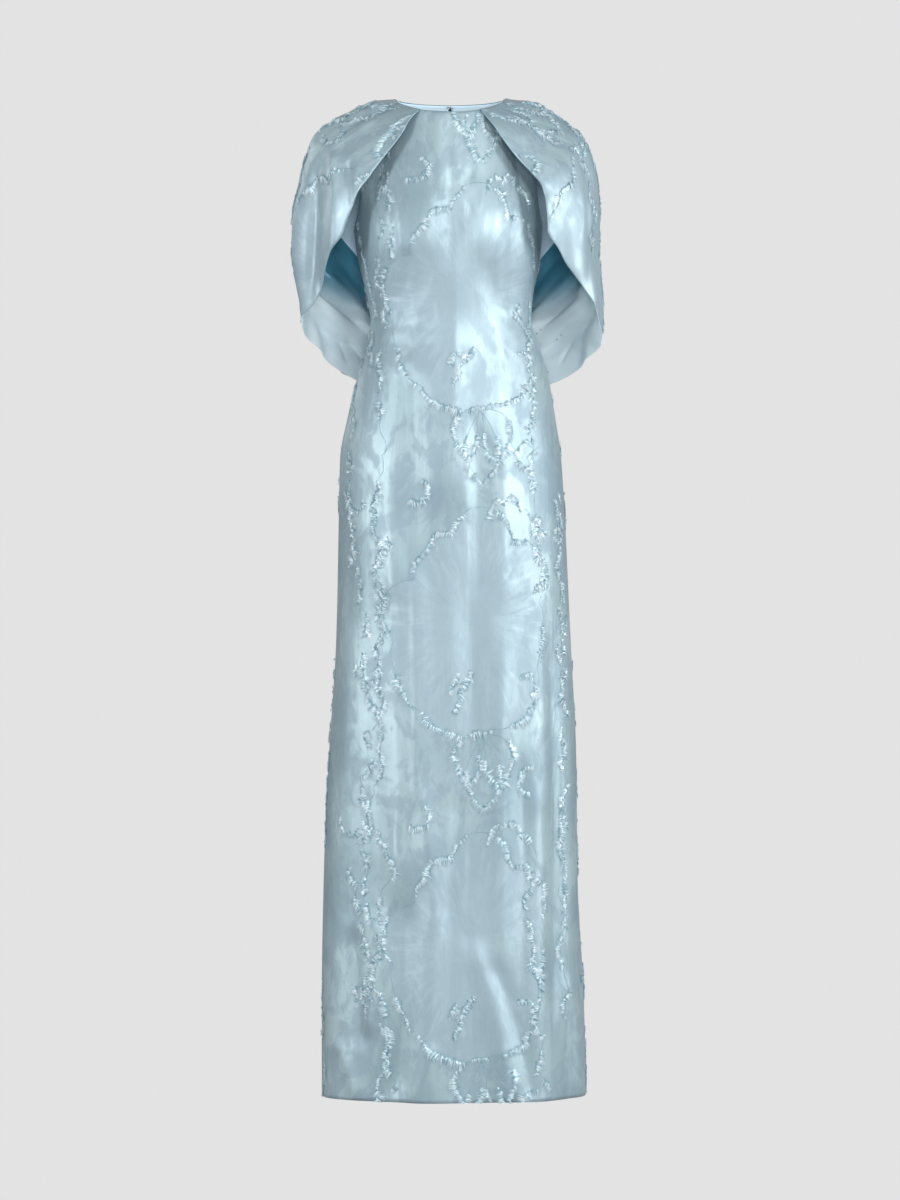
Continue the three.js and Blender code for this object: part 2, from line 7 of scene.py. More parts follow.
import bpy
import numpy as np
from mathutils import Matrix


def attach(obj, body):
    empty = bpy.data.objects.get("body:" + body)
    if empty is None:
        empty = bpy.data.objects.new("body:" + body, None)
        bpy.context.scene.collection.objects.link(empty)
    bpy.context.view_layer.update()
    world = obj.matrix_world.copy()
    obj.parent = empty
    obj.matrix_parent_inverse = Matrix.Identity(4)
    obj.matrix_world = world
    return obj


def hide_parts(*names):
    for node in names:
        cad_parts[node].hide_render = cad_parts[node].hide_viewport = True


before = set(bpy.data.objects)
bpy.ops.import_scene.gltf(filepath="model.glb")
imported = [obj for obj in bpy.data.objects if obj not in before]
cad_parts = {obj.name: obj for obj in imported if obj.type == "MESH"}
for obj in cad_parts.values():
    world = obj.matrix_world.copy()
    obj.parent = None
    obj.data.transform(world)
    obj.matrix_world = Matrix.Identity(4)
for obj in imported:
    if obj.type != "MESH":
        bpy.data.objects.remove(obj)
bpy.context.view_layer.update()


# ---------------------------------------------------------------- camera, floor and light
# A plain pale sweep and soft studio light. The camera stands level with the gown's middle, far off, so that
# upright lines stay upright. The gown hangs clear of the floor, as on a wearer with raised heels.

VIEW_DISTANCE = 6.5
VIEW_HEIGHT = -0.8  # level with the middle of the gown
VIEW_TALL = 1.92  # what the frame takes in at the gown, from top to bottom
SENSOR_TALL = 24  # millimetres
PALE = 0.768  # how bright the sweep looks
AMBIENT = 0.26  # how much light it throws on the gown

scene = bpy.context.scene
scene.view_settings.view_transform = "Standard"
camera = bpy.data.objects.new("camera", bpy.data.cameras.new("camera"))
camera.data.sensor_fit = "VERTICAL"
camera.data.sensor_height = SENSOR_TALL
camera.data.lens = SENSOR_TALL * VIEW_DISTANCE / VIEW_TALL
camera.location = (0, -VIEW_DISTANCE, VIEW_HEIGHT)
camera.rotation_euler = (np.pi / 2, 0, 0)
scene.collection.objects.link(camera)
scene.camera = camera


class Sock:
    """A shader socket that takes Python's arithmetic: an expression on it adds its Math nodes."""

    tree = None

    def __init__(self, link):
        self.link = link

    @classmethod
    def node(cls, kind, sockets=None, out=0, **settings):
        """Adds a node: its settings first, then the value or link of each named or numbered input."""
        made = cls.tree.nodes.new(kind)
        for name, value in settings.items():
            setattr(made, name, value)
        for name, value in (sockets or {}).items():
            if isinstance(value, Sock):
                cls.tree.links.new(value.link, made.inputs[name])
            else:
                made.inputs[name].default_value = value
        return cls(made.outputs[out])

    def maths(self, operation, *others):
        """One Math node, of this and up to two others."""
        values = dict(enumerate((self, *others)))
        return self.node("ShaderNodeMath", values, operation=operation)

    def __add__(self, other):
        return self.maths("ADD", other)

    def __sub__(self, other):
        return self.maths("SUBTRACT", other)

    def __rsub__(self, other):
        return self.node("ShaderNodeMath", {0: other, 1: self}, operation="SUBTRACT")

    def __mul__(self, other):
        return self.maths("MULTIPLY", other)

    def __truediv__(self, other):
        return self.maths("DIVIDE", other)

    def __pow__(self, other):
        return self.maths("POWER", other)

    __radd__ = __add__
    __rmul__ = __mul__

    def step(self, low, high):
        """0 below low, 1 above high, and smooth between; high may be the lower of the two."""
        sockets = {"Value": self, "From Min": low, "From Max": high}
        return self.node("ShaderNodeMapRange", sockets, interpolation_type="SMOOTHSTEP")

    def tint(self, low, high):
        """The colour low where this is 0, and high where it is 1."""
        return self.node("ShaderNodeMix", {0: self, 6: low, 7: high}, out=2, data_type="RGBA")


def rgb(red, green, blue):
    """A colour given as the eye reads it, 0 to 255, made linear."""
    shares = np.array((red, green, blue)) / 255
    return (*np.where(shares < 0.04045, shares / 12.92, ((shares + 0.055) / 1.055) ** 2.4), 1.0)


def finish(name, build):
    """A material whose Principled inputs come from build(), which works on Sock values."""
    material = bpy.data.materials.new(name)
    material.use_nodes = True
    Sock.tree = material.node_tree
    shader = material.node_tree.nodes["Principled BSDF"]
    for socket, value in build().items():
        if isinstance(value, Sock):
            Sock.tree.links.new(value.link, shader.inputs[socket])
        else:
            shader.inputs[socket].default_value = value
    return material


def glow(tree, seen, cast):
    """Fills a floor's or world's tree with one even light: a grey that is seen, and a weaker one it casts."""
    Sock.tree = tree
    output = next(node for node in tree.nodes if node.type.startswith("OUTPUT"))
    kind = "ShaderNodeBackground" if output.type == "OUTPUT_WORLD" else "ShaderNodeEmission"
    strength = Sock.node("ShaderNodeLightPath") * (seen - cast) + cast
    even = Sock.node(kind, {"Color": (1, 1, 1, 1), "Strength": strength})
    tree.links.new(even.link, output.inputs["Surface"])


FLOOR_REACH, FLOOR_HEIGHT = 60, -1.9
floor_mesh = bpy.data.meshes.new("floor")
corners = [(x * FLOOR_REACH, y * FLOOR_REACH, FLOOR_HEIGHT) for x, y in ((-1, -1), (1, -1), (1, 1), (-1, 1))]
floor_mesh.from_pydata(corners, [], [(0, 1, 2, 3)])
floor = bpy.data.objects.new("floor", floor_mesh)
scene.collection.objects.link(floor)
floor_mesh.materials.append(bpy.data.materials.new("floor"))
floor_mesh.materials[0].use_nodes = True
glow(floor_mesh.materials[0].node_tree, PALE, AMBIENT)
scene.world = bpy.data.worlds.new("studio")
scene.world.use_nodes = True
glow(scene.world.node_tree, PALE, AMBIENT)

# Soft boxes: name, where it hangs, how wide and tall, and watts, all turned to the gown's upper middle. The
# front one and the one behind are kept out of reflections, so they leave no reflection of their own.
LIGHT_AIM = -0.7
SOFT_BOXES = [
    ("key", (1.9, -4.4, 1.1), 1.0, 1.3, 90),
    ("front", (0.1, -5.6, -0.4), 1.1, 1.6, 120),
    ("side", (4.3, -2.4, 0.1), 0.9, 2.6, 132),
    ("left", (-3.6, -2.8, -0.1), 0.6, 2.4, 84),
    ("rim", (-2.8, 2.2, 1.2), 0.7, 2.2, 22),
    ("behind", (1.6, 4.6, 0.4), 1.8, 2.4, 70),
]
for name, place, wide, tall, power in SOFT_BOXES:
    light = bpy.data.objects.new(name, bpy.data.lights.new(name, "AREA"))
    light.data.shape = "RECTANGLE"
    light.data.size, light.data.size_y, light.data.energy = wide, tall, power
    light.location = place
    light.visible_glossy = name not in ("front", "behind")
    aim = np.array((0, 0, LIGHT_AIM)) - np.array(place)
    turn, lift = np.arctan2(-aim[0], aim[1]), np.arctan2(aim[2], np.hypot(aim[0], aim[1]))
    light.rotation_euler = (np.pi / 2 + lift, 0, turn)
    scene.collection.objects.link(light)


# ---------------------------------------------------------------- dress front
# One panel of heavy satin with clipped figure threads, cut to a column, darted at bust and waist, and
# joined to the backs at the sides and shoulders. Its hem is turned up and blind-stitched.

HEM_DROP = 1.590
ARMHOLE_DROP = 0.205
NECK_HALF, NECK_FRONT, NECK_BACK, NECK_FRONT_DROP, NECK_BACK_DROP = 0.086, 0.072, 0.050, 0.027, 0.003
SHOULDER_RUN, SHOULDER_FALL, SHOULDER_BACK = 0.060, 0.020, 0.004
NECK_SHARE = 0.6  # how much of a panel's top edge is neckline, and the rest shoulder seam
SECTION_POWER = 0.93  # below 1 a level section is squarer than an ellipse
CHEST_FRONT, CHEST_BACK = (0.006, 0.034), (0.009, 0.027)  # fullness above the armhole: middle, and more aside
ARMHOLE_CUT = 0.011
CLOTH = 0.0009
SEAM_GAP = 0.0003

# Level sections: drop, left, right, front, back, in millimetres.
SECTIONS = np.array([
    (205, 153, 148, 97, 90), (240, 150, 145, 99, 87), (274, 143, 141, 97, 83), (312, 133, 133, 93, 79),
    (354, 127, 130, 90, 78), (395, 133, 143, 93, 86), (443, 148, 157, 99, 100), (500, 162, 167, 104, 114),
    (576, 176, 178, 107, 122), (672, 178, 184, 108, 121),
    (864, 182, 193, 109, 116), (1056, 194, 202, 112, 116),
    (1248, 202, 204, 117, 121), (1440, 205, 214, 122, 128), (1590, 205, 217, 125, 134),
]) / 1000
LEFT, RIGHT, FRONT, BACK = 1, 2, 3, 4

# Bust: how far to the side, drop, rise, half width and half height.
BUST = (0.070, 0.214, 0.012, 0.054, 0.066)

# Upright folds of the skirt: degrees from the centre front, depth and half width there, and the drop where
# the fold starts.
SKIRT_FOLDS = [
    (-66, 0.005, 10, 0.900), (-34, -0.005, 12, 0.760), (-8, 0.006, 9, 0.980), (18, -0.005, 10, 0.860),
    (38, 0.007, 9, 0.700), (62, -0.004, 8, 0.620), (108, 0.006, 11, 0.740), (136, -0.007, 10, 0.640),
    (160, 0.008, 10, 0.600), (-112, 0.005, 11, 0.820), (-138, -0.006, 10, 0.700), (-163, 0.008, 11, 0.620),
]


def through(rows, column, at):
    """A smooth curve through one column of a table against its first, which never overshoots its rows."""
    x, y = rows[:, 0], rows[:, column]
    slope = np.diff(y) / np.diff(x)
    before, after = np.r_[slope[0], slope], np.r_[slope, slope[-1]]
    same = before * after > 0
    total = np.where(same, before + after, 1)
    tangent = np.where(same, 2 * before * after / total, 0)
    i = np.clip(np.searchsorted(x, at) - 1, 0, len(x) - 2)
    run = x[i + 1] - x[i]
    t = np.clip((at - x[i]) / run, 0, 1)
    return (
        (2 * t**3 - 3 * t**2 + 1) * y[i]
        + (t**3 - 2 * t**2 + t) * run * tangent[i]
        + (3 * t**2 - 2 * t**3) * y[i + 1]
        + (t**3 - t**2) * run * tangent[i + 1]
    )


def hump(x, centre, spread):
    """1 at the centre, and falling to 0 over a few spreads on either side."""
    return np.exp(-(((x - centre) / spread) ** 2))


def smooth(t):
    """0 below 0, 1 above 1, and an S curve between."""
    t = np.clip(t, 0, 1)
    return t * t * (3 - 2 * t)


def neck_points(side, angle):
    """The neckline: half an ellipse to each side, by the angle from the side, dipping to the centres."""
    turn = np.radians(angle)
    share = np.abs(np.sin(turn))
    depth = np.where(angle < 0, NECK_FRONT, NECK_BACK)
    drop = np.where(angle < 0, NECK_FRONT_DROP, NECK_BACK_DROP)
    return np.stack([side * NECK_HALF * np.cos(turn), depth * np.sin(turn), -drop * share**1.1], -1)


def top_edge(u, face):
    """The neckline up to NECK_SHARE of a panel's half width, and then the shoulder seam."""
    share = np.abs(u)
    side = np.where(u < 0, -1.0, 1.0)
    t = np.clip((share - NECK_SHARE) / (1 - NECK_SHARE), 0, 1)
    shoulder = [side * (NECK_HALF + t * SHOULDER_RUN), t * SHOULDER_BACK, -SHOULDER_FALL * t**1.2]
    neck = neck_points(side, face * 90 * (1 - np.minimum(share / NECK_SHARE, 1)))
    return np.where((share <= NECK_SHARE)[..., None], neck, np.stack(shoulder, -1))


def section_points(u, drop, face):
    """A level section: a squared ellipse whose four reaches come from SECTIONS, with the skirt's folds."""
    turn = u * np.pi / 2
    reach = np.where(u < 0, through(SECTIONS, LEFT, drop), through(SECTIONS, RIGHT, drop))
    depth = through(SECTIONS, FRONT if face < 0 else BACK, drop)
    degrees = u * 90 if face < 0 else np.where(u < 0, -1, 1) * (180 - np.abs(u) * 90)
    fold = sum(
        deep * np.clip((drop - start) / (HEM_DROP - start), 0, 1) ** 1.2 * hump(degrees, centre, wide)
        for centre, deep, wide, start in SKIRT_FOLDS
    )
    sine, cosine = np.sin(turn), np.maximum(np.cos(turn), 0)
    return np.stack([
        reach * np.sign(sine) * np.abs(sine) ** SECTION_POWER + fold * sine,
        face * (depth * cosine**SECTION_POWER + fold * cosine),
        -drop + 0 * u,
    ], -1)


def dress_points(u, drop, face):
    """Level sections up to the armhole, and then a blend up to the top edge, filled out over the chest."""
    low = section_points(u, np.maximum(drop, ARMHOLE_DROP), face)
    top = top_edge(u, face)
    t = np.clip((ARMHOLE_DROP - drop) / (ARMHOLE_DROP + top[..., 2]), 0, 1)
    points = low + (top - low) * t[..., None]
    arch = np.sin(np.pi * t) ** 0.9
    middle, side = CHEST_FRONT if face < 0 else CHEST_BACK
    points[..., 0] -= np.sign(u) * ARMHOLE_CUT * u**6 * arch
    points[..., 1] += face * (middle + side * u * u) * arch
    if face < 0:
        aside, deep, rise, wide, tall = BUST
        points[..., 1] -= rise * hump(np.abs(points[..., 0]), aside, wide) * hump(drop, deep, tall)
    return points


def dress_grid(columns, rows, chest_rows, first_u, last_u, face):
    """A panel's grid and the u of each point. Its columns are evenly spaced along the cloth at each level,
    from first_u to last_u. Side and shoulder edges stand half a seam's gap off the seam."""
    level = np.r_[np.linspace(HEM_DROP, ARMHOLE_DROP, rows + 1), np.zeros(chest_rows)][:, None]
    climb = np.r_[np.zeros(rows + 1), np.linspace(0, 1, chest_rows + 1)[1:]][:, None]

    def at(u):
        """The dress's points at u on every level of the panel."""
        drop = np.where(climb > 0, ARMHOLE_DROP + climb * (-top_edge(u, face)[..., 2] - ARMHOLE_DROP), level)
        return dress_points(u, drop, face)

    fine = np.broadcast_to(np.linspace(first_u, last_u, 4 * columns + 1), (len(level), 4 * columns + 1))
    steps = np.linalg.norm(np.diff(at(fine), axis=1), axis=2)
    along = np.c_[np.zeros(len(level)), np.cumsum(steps, 1)]
    shares = np.linspace(0, 1, columns + 1)
    u = np.array([np.interp(shares * row[-1], row, fine[0]) for row in along])
    points = at(u)
    shoulder = smooth((climb - 0.97) / 0.03) * smooth((np.abs(u) - NECK_SHARE) / 0.1 + 1)
    points[..., 1] += face * SEAM_GAP / 2 * np.maximum(np.abs(u) ** 8, shoulder)
    return points, u


def normals_of(points, outward):
    """Unit normals of a grid, all on the side that `outward` points to at the grid's middle."""
    across, along = np.gradient(points, axis=1), np.gradient(points, axis=0)
    normal = np.cross(across, along)
    normal /= np.maximum(np.linalg.norm(normal, axis=-1, keepdims=True), 1e-12)
    middle = tuple(n // 2 for n in points.shape[:2])
    return normal * np.sign(normal[middle] @ np.asarray(outward, float))


def cloth_measure(points, anchor):
    """How far each grid point is from the anchor column along the cloth, and how far below the shoulder."""
    steps = np.linalg.norm(np.diff(points, axis=1), axis=2)
    along = np.c_[np.zeros(len(points)), np.cumsum(steps, 1)]
    return along - along[:, anchor : anchor + 1], -points[..., 2]


def crease(x, drop, rows):
    """Sum of soft troughs and ridges in a view square to the cloth. A row is start and end (x, drop), how far
    the line bows, depth (below 0 a trough), half width, sharpness (0 is round, 1 a fold with a crisp top),
    and lean: how far the top is off the middle, which leaves one broad flank and one narrow one."""
    total = np.zeros_like(x)
    for (x0, z0), (x1, z1), bow, depth, wide, sharp, lean in rows:
        run = np.array((x1 - x0, z1 - z0)) / 1000
        length = np.hypot(*run)
        dx, dz = x - x0 / 1000, drop - z0 / 1000
        t = (dx * run[0] + dz * run[1]) / length**2
        away = (dx * run[1] - dz * run[0]) / length - bow / 1000 * 4 * t * (1 - t)
        away = away / (wide / 1000)
        flank = np.clip(np.where(away < lean, (away + 1) / (1 + lean), (1 - away) / (1 - lean)), 0, 1)
        foot = np.where(flank < 0.3, flank**2 / 0.6, flank - 0.15) / 0.85
        profile = sharp * foot + (1 - sharp) * np.exp(-(away**2))
        fade = smooth(t / 0.22 + 0.5) * smooth((1 - t) / 0.22 + 0.5)
        total += depth / 1000 * profile * fade
    return total


def ripple(x, drop, seed, amount, wavelength):
    """A shallow unevenness of the cloth: a few crossing sine waves, the same each run."""
    rng = np.random.default_rng(seed)
    total = np.zeros_like(x)
    for _ in range(7):
        angle, phase = rng.uniform(-0.5, 0.5), rng.uniform(0, 6.28)
        k = 6.28 / (wavelength * rng.uniform(0.6, 1.6))
        wander = 1.3 * np.sin(2.1 * drop + phase)
        total += np.sin(k * (x * np.cos(angle) + drop * 0.35 * np.sin(angle)) + phase + wander)
    return amount * total / 7


def piece_mesh(name, points, faces, uv, materials, smooth_faces=True):
    """A mesh object from arrays, with a UV map in metres of cloth named cloth."""
    mesh = bpy.data.meshes.new(name)
    mesh.from_pydata(points, [], faces)
    layer = mesh.uv_layers.new(name="cloth")
    loops = np.zeros(len(mesh.loops), np.int32)
    mesh.loops.foreach_get("vertex_index", loops)
    layer.data.foreach_set("uv", uv[loops].astype(np.float32).ravel())
    for material in materials:
        mesh.materials.append(material)
    mesh.polygons.foreach_set("use_smooth", np.full(len(mesh.polygons), smooth_faces))
    made = bpy.data.objects.new(name, mesh)
    scene.collection.objects.link(made)
    return made


def grid_faces(rows, columns, offset=0, turned=False):
    """The quads of a grid of rows by columns of points."""
    k = np.arange((rows - 1) * columns).reshape(rows - 1, columns)[:, :-1].ravel() + offset
    quads = np.stack([k, k + 1, k + columns + 1, k + columns], -1)
    return quads[:, ::-1] if turned else quads


def cloth_piece(name, points, normal, s, t, thickness, face, back):
    """A closed thin shell: the grid outside, the same grid moved in, and rims round its edge. The outside has
    the first material, and the inside and rims have the second. Its UVs are s across and t down the cloth."""
    rows, columns = points.shape[:2]
    n = rows * columns
    sides = np.concatenate([points.reshape(-1, 3), (points - normal * thickness).reshape(-1, 3)])
    j, i = rows // 2, columns // 2
    across, along = points[j, i + 1] - points[j, i], points[j + 1, i] - points[j, i]
    turned = np.cross(across, along) @ normal[j, i] < 0
    outer, inner = grid_faces(rows, columns, 0, turned), grid_faces(rows, columns, n, not turned)
    k = np.arange(n).reshape(rows, columns)
    loop = np.concatenate([k[0], k[1:, -1], k[-1, -2::-1], k[-2:0:-1, 0]])
    after = np.roll(loop, -1)
    rim = np.stack([loop, loop + n, after + n, after], -1)
    rim = rim[:, ::-1] if turned else rim
    faces = np.concatenate([outer, inner, rim])
    uv = np.tile(np.stack([s, -t], -1).reshape(-1, 2), (2, 1))
    made = piece_mesh(name, sides, faces, uv, [face, back])
    slots = np.r_[np.zeros(len(outer)), np.ones(len(inner) + len(rim))].astype(np.int32)
    made.data.polygons.foreach_set("material_index", slots)
    return made


ICE = rgb(169, 192, 200)
# The darker end of the satin's random tone and of its painted fold shade.
ICE_TONE_AND_PAINTED_SHADE = rgb(142, 166, 176)
BLOOM_TINT = rgb(156, 178, 189)
DULL = rgb(130, 152, 166)  # where the crepe side of the yarn shows
FEATHER_TINT = rgb(202, 223, 231)
# The cape's inside, painted: deep teal for the shade near the neck, and near white for the light lower down.
REVERSE_PAINTED_SHADE = rgb(74, 140, 164)
REVERSE_PAINTED_LIGHT = rgb(229, 246, 253)

# One repeat of the woven figures; each next column starts half a repeat down.
TILE_WIDE, TILE_TALL = 0.44, 0.512
BLOOM_PLACE = (0.030, 0.320)  # its middle in the repeat: across, and down
BLOOM_REACH = (0.152, 0.170)  # to the side, and up and down


def sine_of(turn):
    """The sine of a shader socket or of numbers."""
    return turn.maths("SINE") if isinstance(turn, Sock) else np.sin(turn)


def bloom_outline(turn):
    """A bloom's reach, as a share, by the angle from its top: uneven lobes, rounded petals that meet in
    notches round the upper half, and a drawn-out foot."""
    upper = sine_of(turn * 0.5) ** 2.0
    petals = 1.0 - (sine_of(turn * 4.0 + 0.9) ** 2.0) ** 0.5
    lobes = 0.07 * sine_of(turn * 2.0 + 0.9) + 0.06 * sine_of(turn * 3.0 + 0.4)
    lobes = lobes + 0.04 * sine_of(turn * 5.0 + 2.0)
    return 0.93 + lobes - petals ** 1.6 * (0.16 - upper * 0.12) + upper ** 9.0 * 0.14


def cloth_place():
    """The place on the cloth, in metres across and up."""
    return Sock.node("ShaderNodeUVMap", uv_map="cloth")


def part_of(place, k):
    """One part of a place: 0 is across and 1 is up."""
    return Sock.node("ShaderNodeSeparateXYZ", {0: place}, out=k)


def noise(place, scale, detail=2.0, distortion=0.0):
    """Soft noise that is about 1 / scale metres from peak to peak."""
    sockets = {"Vector": place, "Scale": scale, "Detail": detail, "Distortion": distortion}
    return Sock.node("ShaderNodeTexNoise", sockets)


def ribs(place, scale, distortion=0.0, **settings):
    """Fine ribs of the weave, more of them for a larger scale."""
    sockets = {"Vector": place, "Scale": scale, "Distortion": distortion}
    return Sock.node("ShaderNodeTexWave", sockets, out=1, **settings)


def bumped(height, strength, distance, **more):
    """A normal that tips with the height."""
    return Sock.node("ShaderNodeBump", {"Height": height, "Strength": strength, "Distance": distance, **more})


def figured_satin():
    """Glossy satin with a fine rib, random tone, upright streaks of painted shade that darken the hollows of
    its crumple, dull patches, and matte blooms with rays of yarn that run in from the rim and out from a soft
    heart."""
    place = cloth_place()
    across, up = part_of(place, 0), part_of(place, 1)
    column = ((across - BLOOM_PLACE[0]) / TILE_WIDE + 0.5).maths("FLOOR")
    x = (across - BLOOM_PLACE[0] - column * TILE_WIDE) / BLOOM_REACH[0]
    down_from = up + BLOOM_PLACE[1] + column * TILE_TALL / 2
    y = down_from.maths("WRAP", TILE_TALL / 2, -TILE_TALL / 2) / BLOOM_REACH[1]
    turn = x.maths("ARCTAN2", y)
    reach = (x * x + y * y) ** 0.5
    inward = reach / bloom_outline(turn)
    inside = inward.step(1.04, 0.94)
    ring = Sock.node("ShaderNodeCombineXYZ", {0: x / reach * 5.0, 1: y / reach * 5.0, 2: inward * 1.6})
    streaks = noise(ring, 2.2, 4.0, 0.4)
    heart = (streaks * 1.6 - 0.22 - inward).step(-0.22, 0.16)
    feather = (heart * 0.6 + streaks.step(0.48, 0.74) * inward.step(0.30, 0.95)) * inside
    stretched, softened = (
        Sock.node("ShaderNodeMapping", {"Vector": place, "Scale": (1.0, squeeze, 1.0)})
        for squeeze in (0.16, 0.55)
    )
    drape = noise(stretched, 26.0, 3.0, 0.6)
    cloud = noise(place, 6.0)
    blotch = noise(softened, 17.0, 4.0, 1.4)
    speck = noise(softened, 44.0, 3.0, 1.8)
    dull = (blotch * 0.7 + speck * 0.3).step(0.46, 0.57)
    crumple = bumped(drape + blotch * 0.35 + speck * 0.14, 0.45, 0.004)
    fine = ribs(place, 420.0, 1.2) * 0.5 + noise(place, 620.0) + feather * 0.6
    bump = bumped(fine, 0.22, 0.0004, Normal=crumple)
    # Random cloud tone, and painted shade: the drape streaks that bump the cloth also darken it in their
    # hollows.
    tone_and_painted_fold_shade = (cloud.step(0.38, 0.62) * 0.6 + drape.step(0.35, 0.65) * 0.4).tint(ICE_TONE_AND_PAINTED_SHADE, ICE)
    matte = (inside * 0.60).tint((dull * 0.52).tint(tone_and_painted_fold_shade, DULL), BLOOM_TINT)
    return {
        "Base Color": (feather * 0.14).tint(matte, FEATHER_TINT),
        "Metallic": 0.30,
        "Roughness": 0.34 + inside * 0.05 + dull * 0.12 - feather * 0.04,
        "Normal": bump,
        "Sheen Weight": 0.12,
        "Sheen Roughness": 0.4,
        "Anisotropic": 0.3,
    }


def shaded_reverse_finish():
    """The smooth back of the cloth, with no figure, and painted shade and light: deep teal near the neck,
    where shade falls inside the cape, and near white towards the lower edge, where light falls.
    """
    place = cloth_place()
    painted_shade_lift = (0.0 - part_of(place, 1)).step(0.325, 0.43) + noise(place, 9.0) * 0.2 - 0.1
    return {
        "Base Color": painted_shade_lift.step(0.0, 1.0).tint(REVERSE_PAINTED_SHADE, REVERSE_PAINTED_LIGHT),
        "Metallic": 0.16,
        "Roughness": 0.34,
        "Normal": bumped(ribs(place, 380.0, 1.0), 0.05, 0.0003),
    }


SATIN = finish("figured_satin", figured_satin)
SATIN_REVERSE_PAINTED_SHADE = finish("satin_reverse_with_painted_shade", shaded_reverse_finish)


def facing_satin_painted_light():
    """The facings: the satin turned in, in a pale blue far lighter than the satin's face, painted light for
    parts that lie in the cape's shade.
    """
    return {**shaded_reverse_finish(), "Base Color": rgb(214, 240, 255), "Metallic": 0.0, "Roughness": 0.42}


FACING_PAINTED_LIGHT = finish("facing_satin_painted_light", facing_satin_painted_light)
FACING_SIDES_PAINTED_LIGHT = (FACING_PAINTED_LIGHT, FACING_PAINTED_LIGHT)

# Creases of the front, by where they lie as seen from the front: millimetres right of the centre, and drop.
FRONT_CREASES = [
    ((-40, 40), (-22, 150), 4, -1.8, 12, 0.1, 0), ((-6, 44), (6, 156), -3, -2.0, 13, 0.1, 0),
    ((24, 50), (34, 140), 3, -1.4, 11, 0.1, 0), ((8, 262), (2, 650), 3, 7.5, 58, 0.9, 0),
    ((-104, 366), (8, 376), 5, -0.9, 7, 0.1, 0), ((-112, 388), (-14, 392), -4, -0.8, 7, 0.1, 0),
    ((-88, 354), (-18, 360), 3, -0.7, 6, 0.1, 0), ((100, 200), (97, 356), 0, -3.0, 22, 0.7, 0),
    ((40, 520), (44, 800), 3, -4.5, 22, 0.8, 0), ((79, 520), (82, 800), 3, 4.5, 26, 0.8, 0),
    ((-59, 760), (-55, 1100), 4, 6.0, 34, 0.9, 0), ((32, 790), (27, 1290), 6, -6.5, 34, 0.9, 0),
    ((84, 840), (88, 1440), -6, 6.5, 34, 0.9, 0), ((158, 840), (166, 1440), 5, -4.5, 20, 0.8, 0),
    ((-52, 1090), (-16, 1330), 3, 5.0, 24, 0.8, 0), ((16, 1120), (-12, 1330), 3, -4.5, 20, 0.7, 0),
    ((-72, 1280), (-86, 1584), 4, -7.0, 30, 0.7, 0), ((40, 1350), (94, 1586), 7, 8.0, 30, 0.7, 0),
    ((68, 1370), (134, 1586), 7, -7.0, 22, 0.6, 0), ((190, 1400), (202, 1584), 3, 4.5, 16, 0.6, 0),
    ((-106, 1300), (-130, 1480), 6, 5.0, 18, 0.6, 0), ((-152, 1330), (-140, 1500), -4, -4.5, 16, 0.4, 0),
    ((-110, 800), (-114, 1270), -5, -4.0, 30, 0.6, 0), ((-166, 840), (-170, 1090), 4, 1.6, 20, 0.5, 0),
    ((-96, 610), (-92, 790), 3, 3.4, 30, 0.6, 0), ((114, 1060), (112, 1430), 4, -2.6, 12, 0.5, 0),
    ((136, 1090), (140, 1400), 3, 2.4, 12, 0.5, 0), ((-70, 420), (-20, 480), 8, 2.0, 20, 0.3, 0),
    ((62, 270), (84, 350), -4, -1.8, 16, 0.2, 0), ((-60, 250), (-86, 330), 4, -1.6, 16, 0.2, 0),
    ((-30, 1500), (-60, 1590), 4, 3.0, 14, 0.4, 0), ((-180, 1500), (-150, 1585), 4, 3.5, 14, 0.4, 0),
    ((-44, 1280), (-62, 1586), 4, 2.6, 34, 0.9, 0.5), ((-4, 1260), (-8, 1586), -4, -3.0, 30, 0.8, 0.4),
    ((20, 1310), (24, 1586), 5, -2.6, 22, 0.8, 0.4), ((-120, 700), (-118, 1250), 0, 6.0, 60, 0.8, 0.6),
]

FRONT_COLUMNS, SKIRT_ROWS, CHEST_ROWS = 104, 216, 38
points, front_u = dress_grid(FRONT_COLUMNS, SKIRT_ROWS, CHEST_ROWS, -1, 1, -1)
normal = normals_of(points, (0, -1, 0))
x, drop = points[..., 0], -points[..., 2]
edge_hold = 1 - np.abs(front_u) ** 12
relief = crease(x, drop, FRONT_CREASES) + ripple(x, drop, 3, 0.0012, 0.09)
points = points + normal * (relief * edge_hold)[..., None]
front_normal = normals_of(points, (0, -1, 0))
front_s, front_t = cloth_measure(points, FRONT_COLUMNS // 2)
front_grid = (points, front_normal, front_s, front_t)
gown_front = cloth_piece("gown_front_cloth", *front_grid, CLOTH, SATIN, SATIN_REVERSE_PAINTED_SHADE)
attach(gown_front, "gown")
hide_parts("gown_front")


# ---------------------------------------------------------------- dress back
# Two panels of the same satin, closed at the centre by a concealed zip below a hook and eye.

NAPE_GAP = (0.003, 0.027, 0.0036)  # top and bottom drop, and half width, where the edges part above the zip

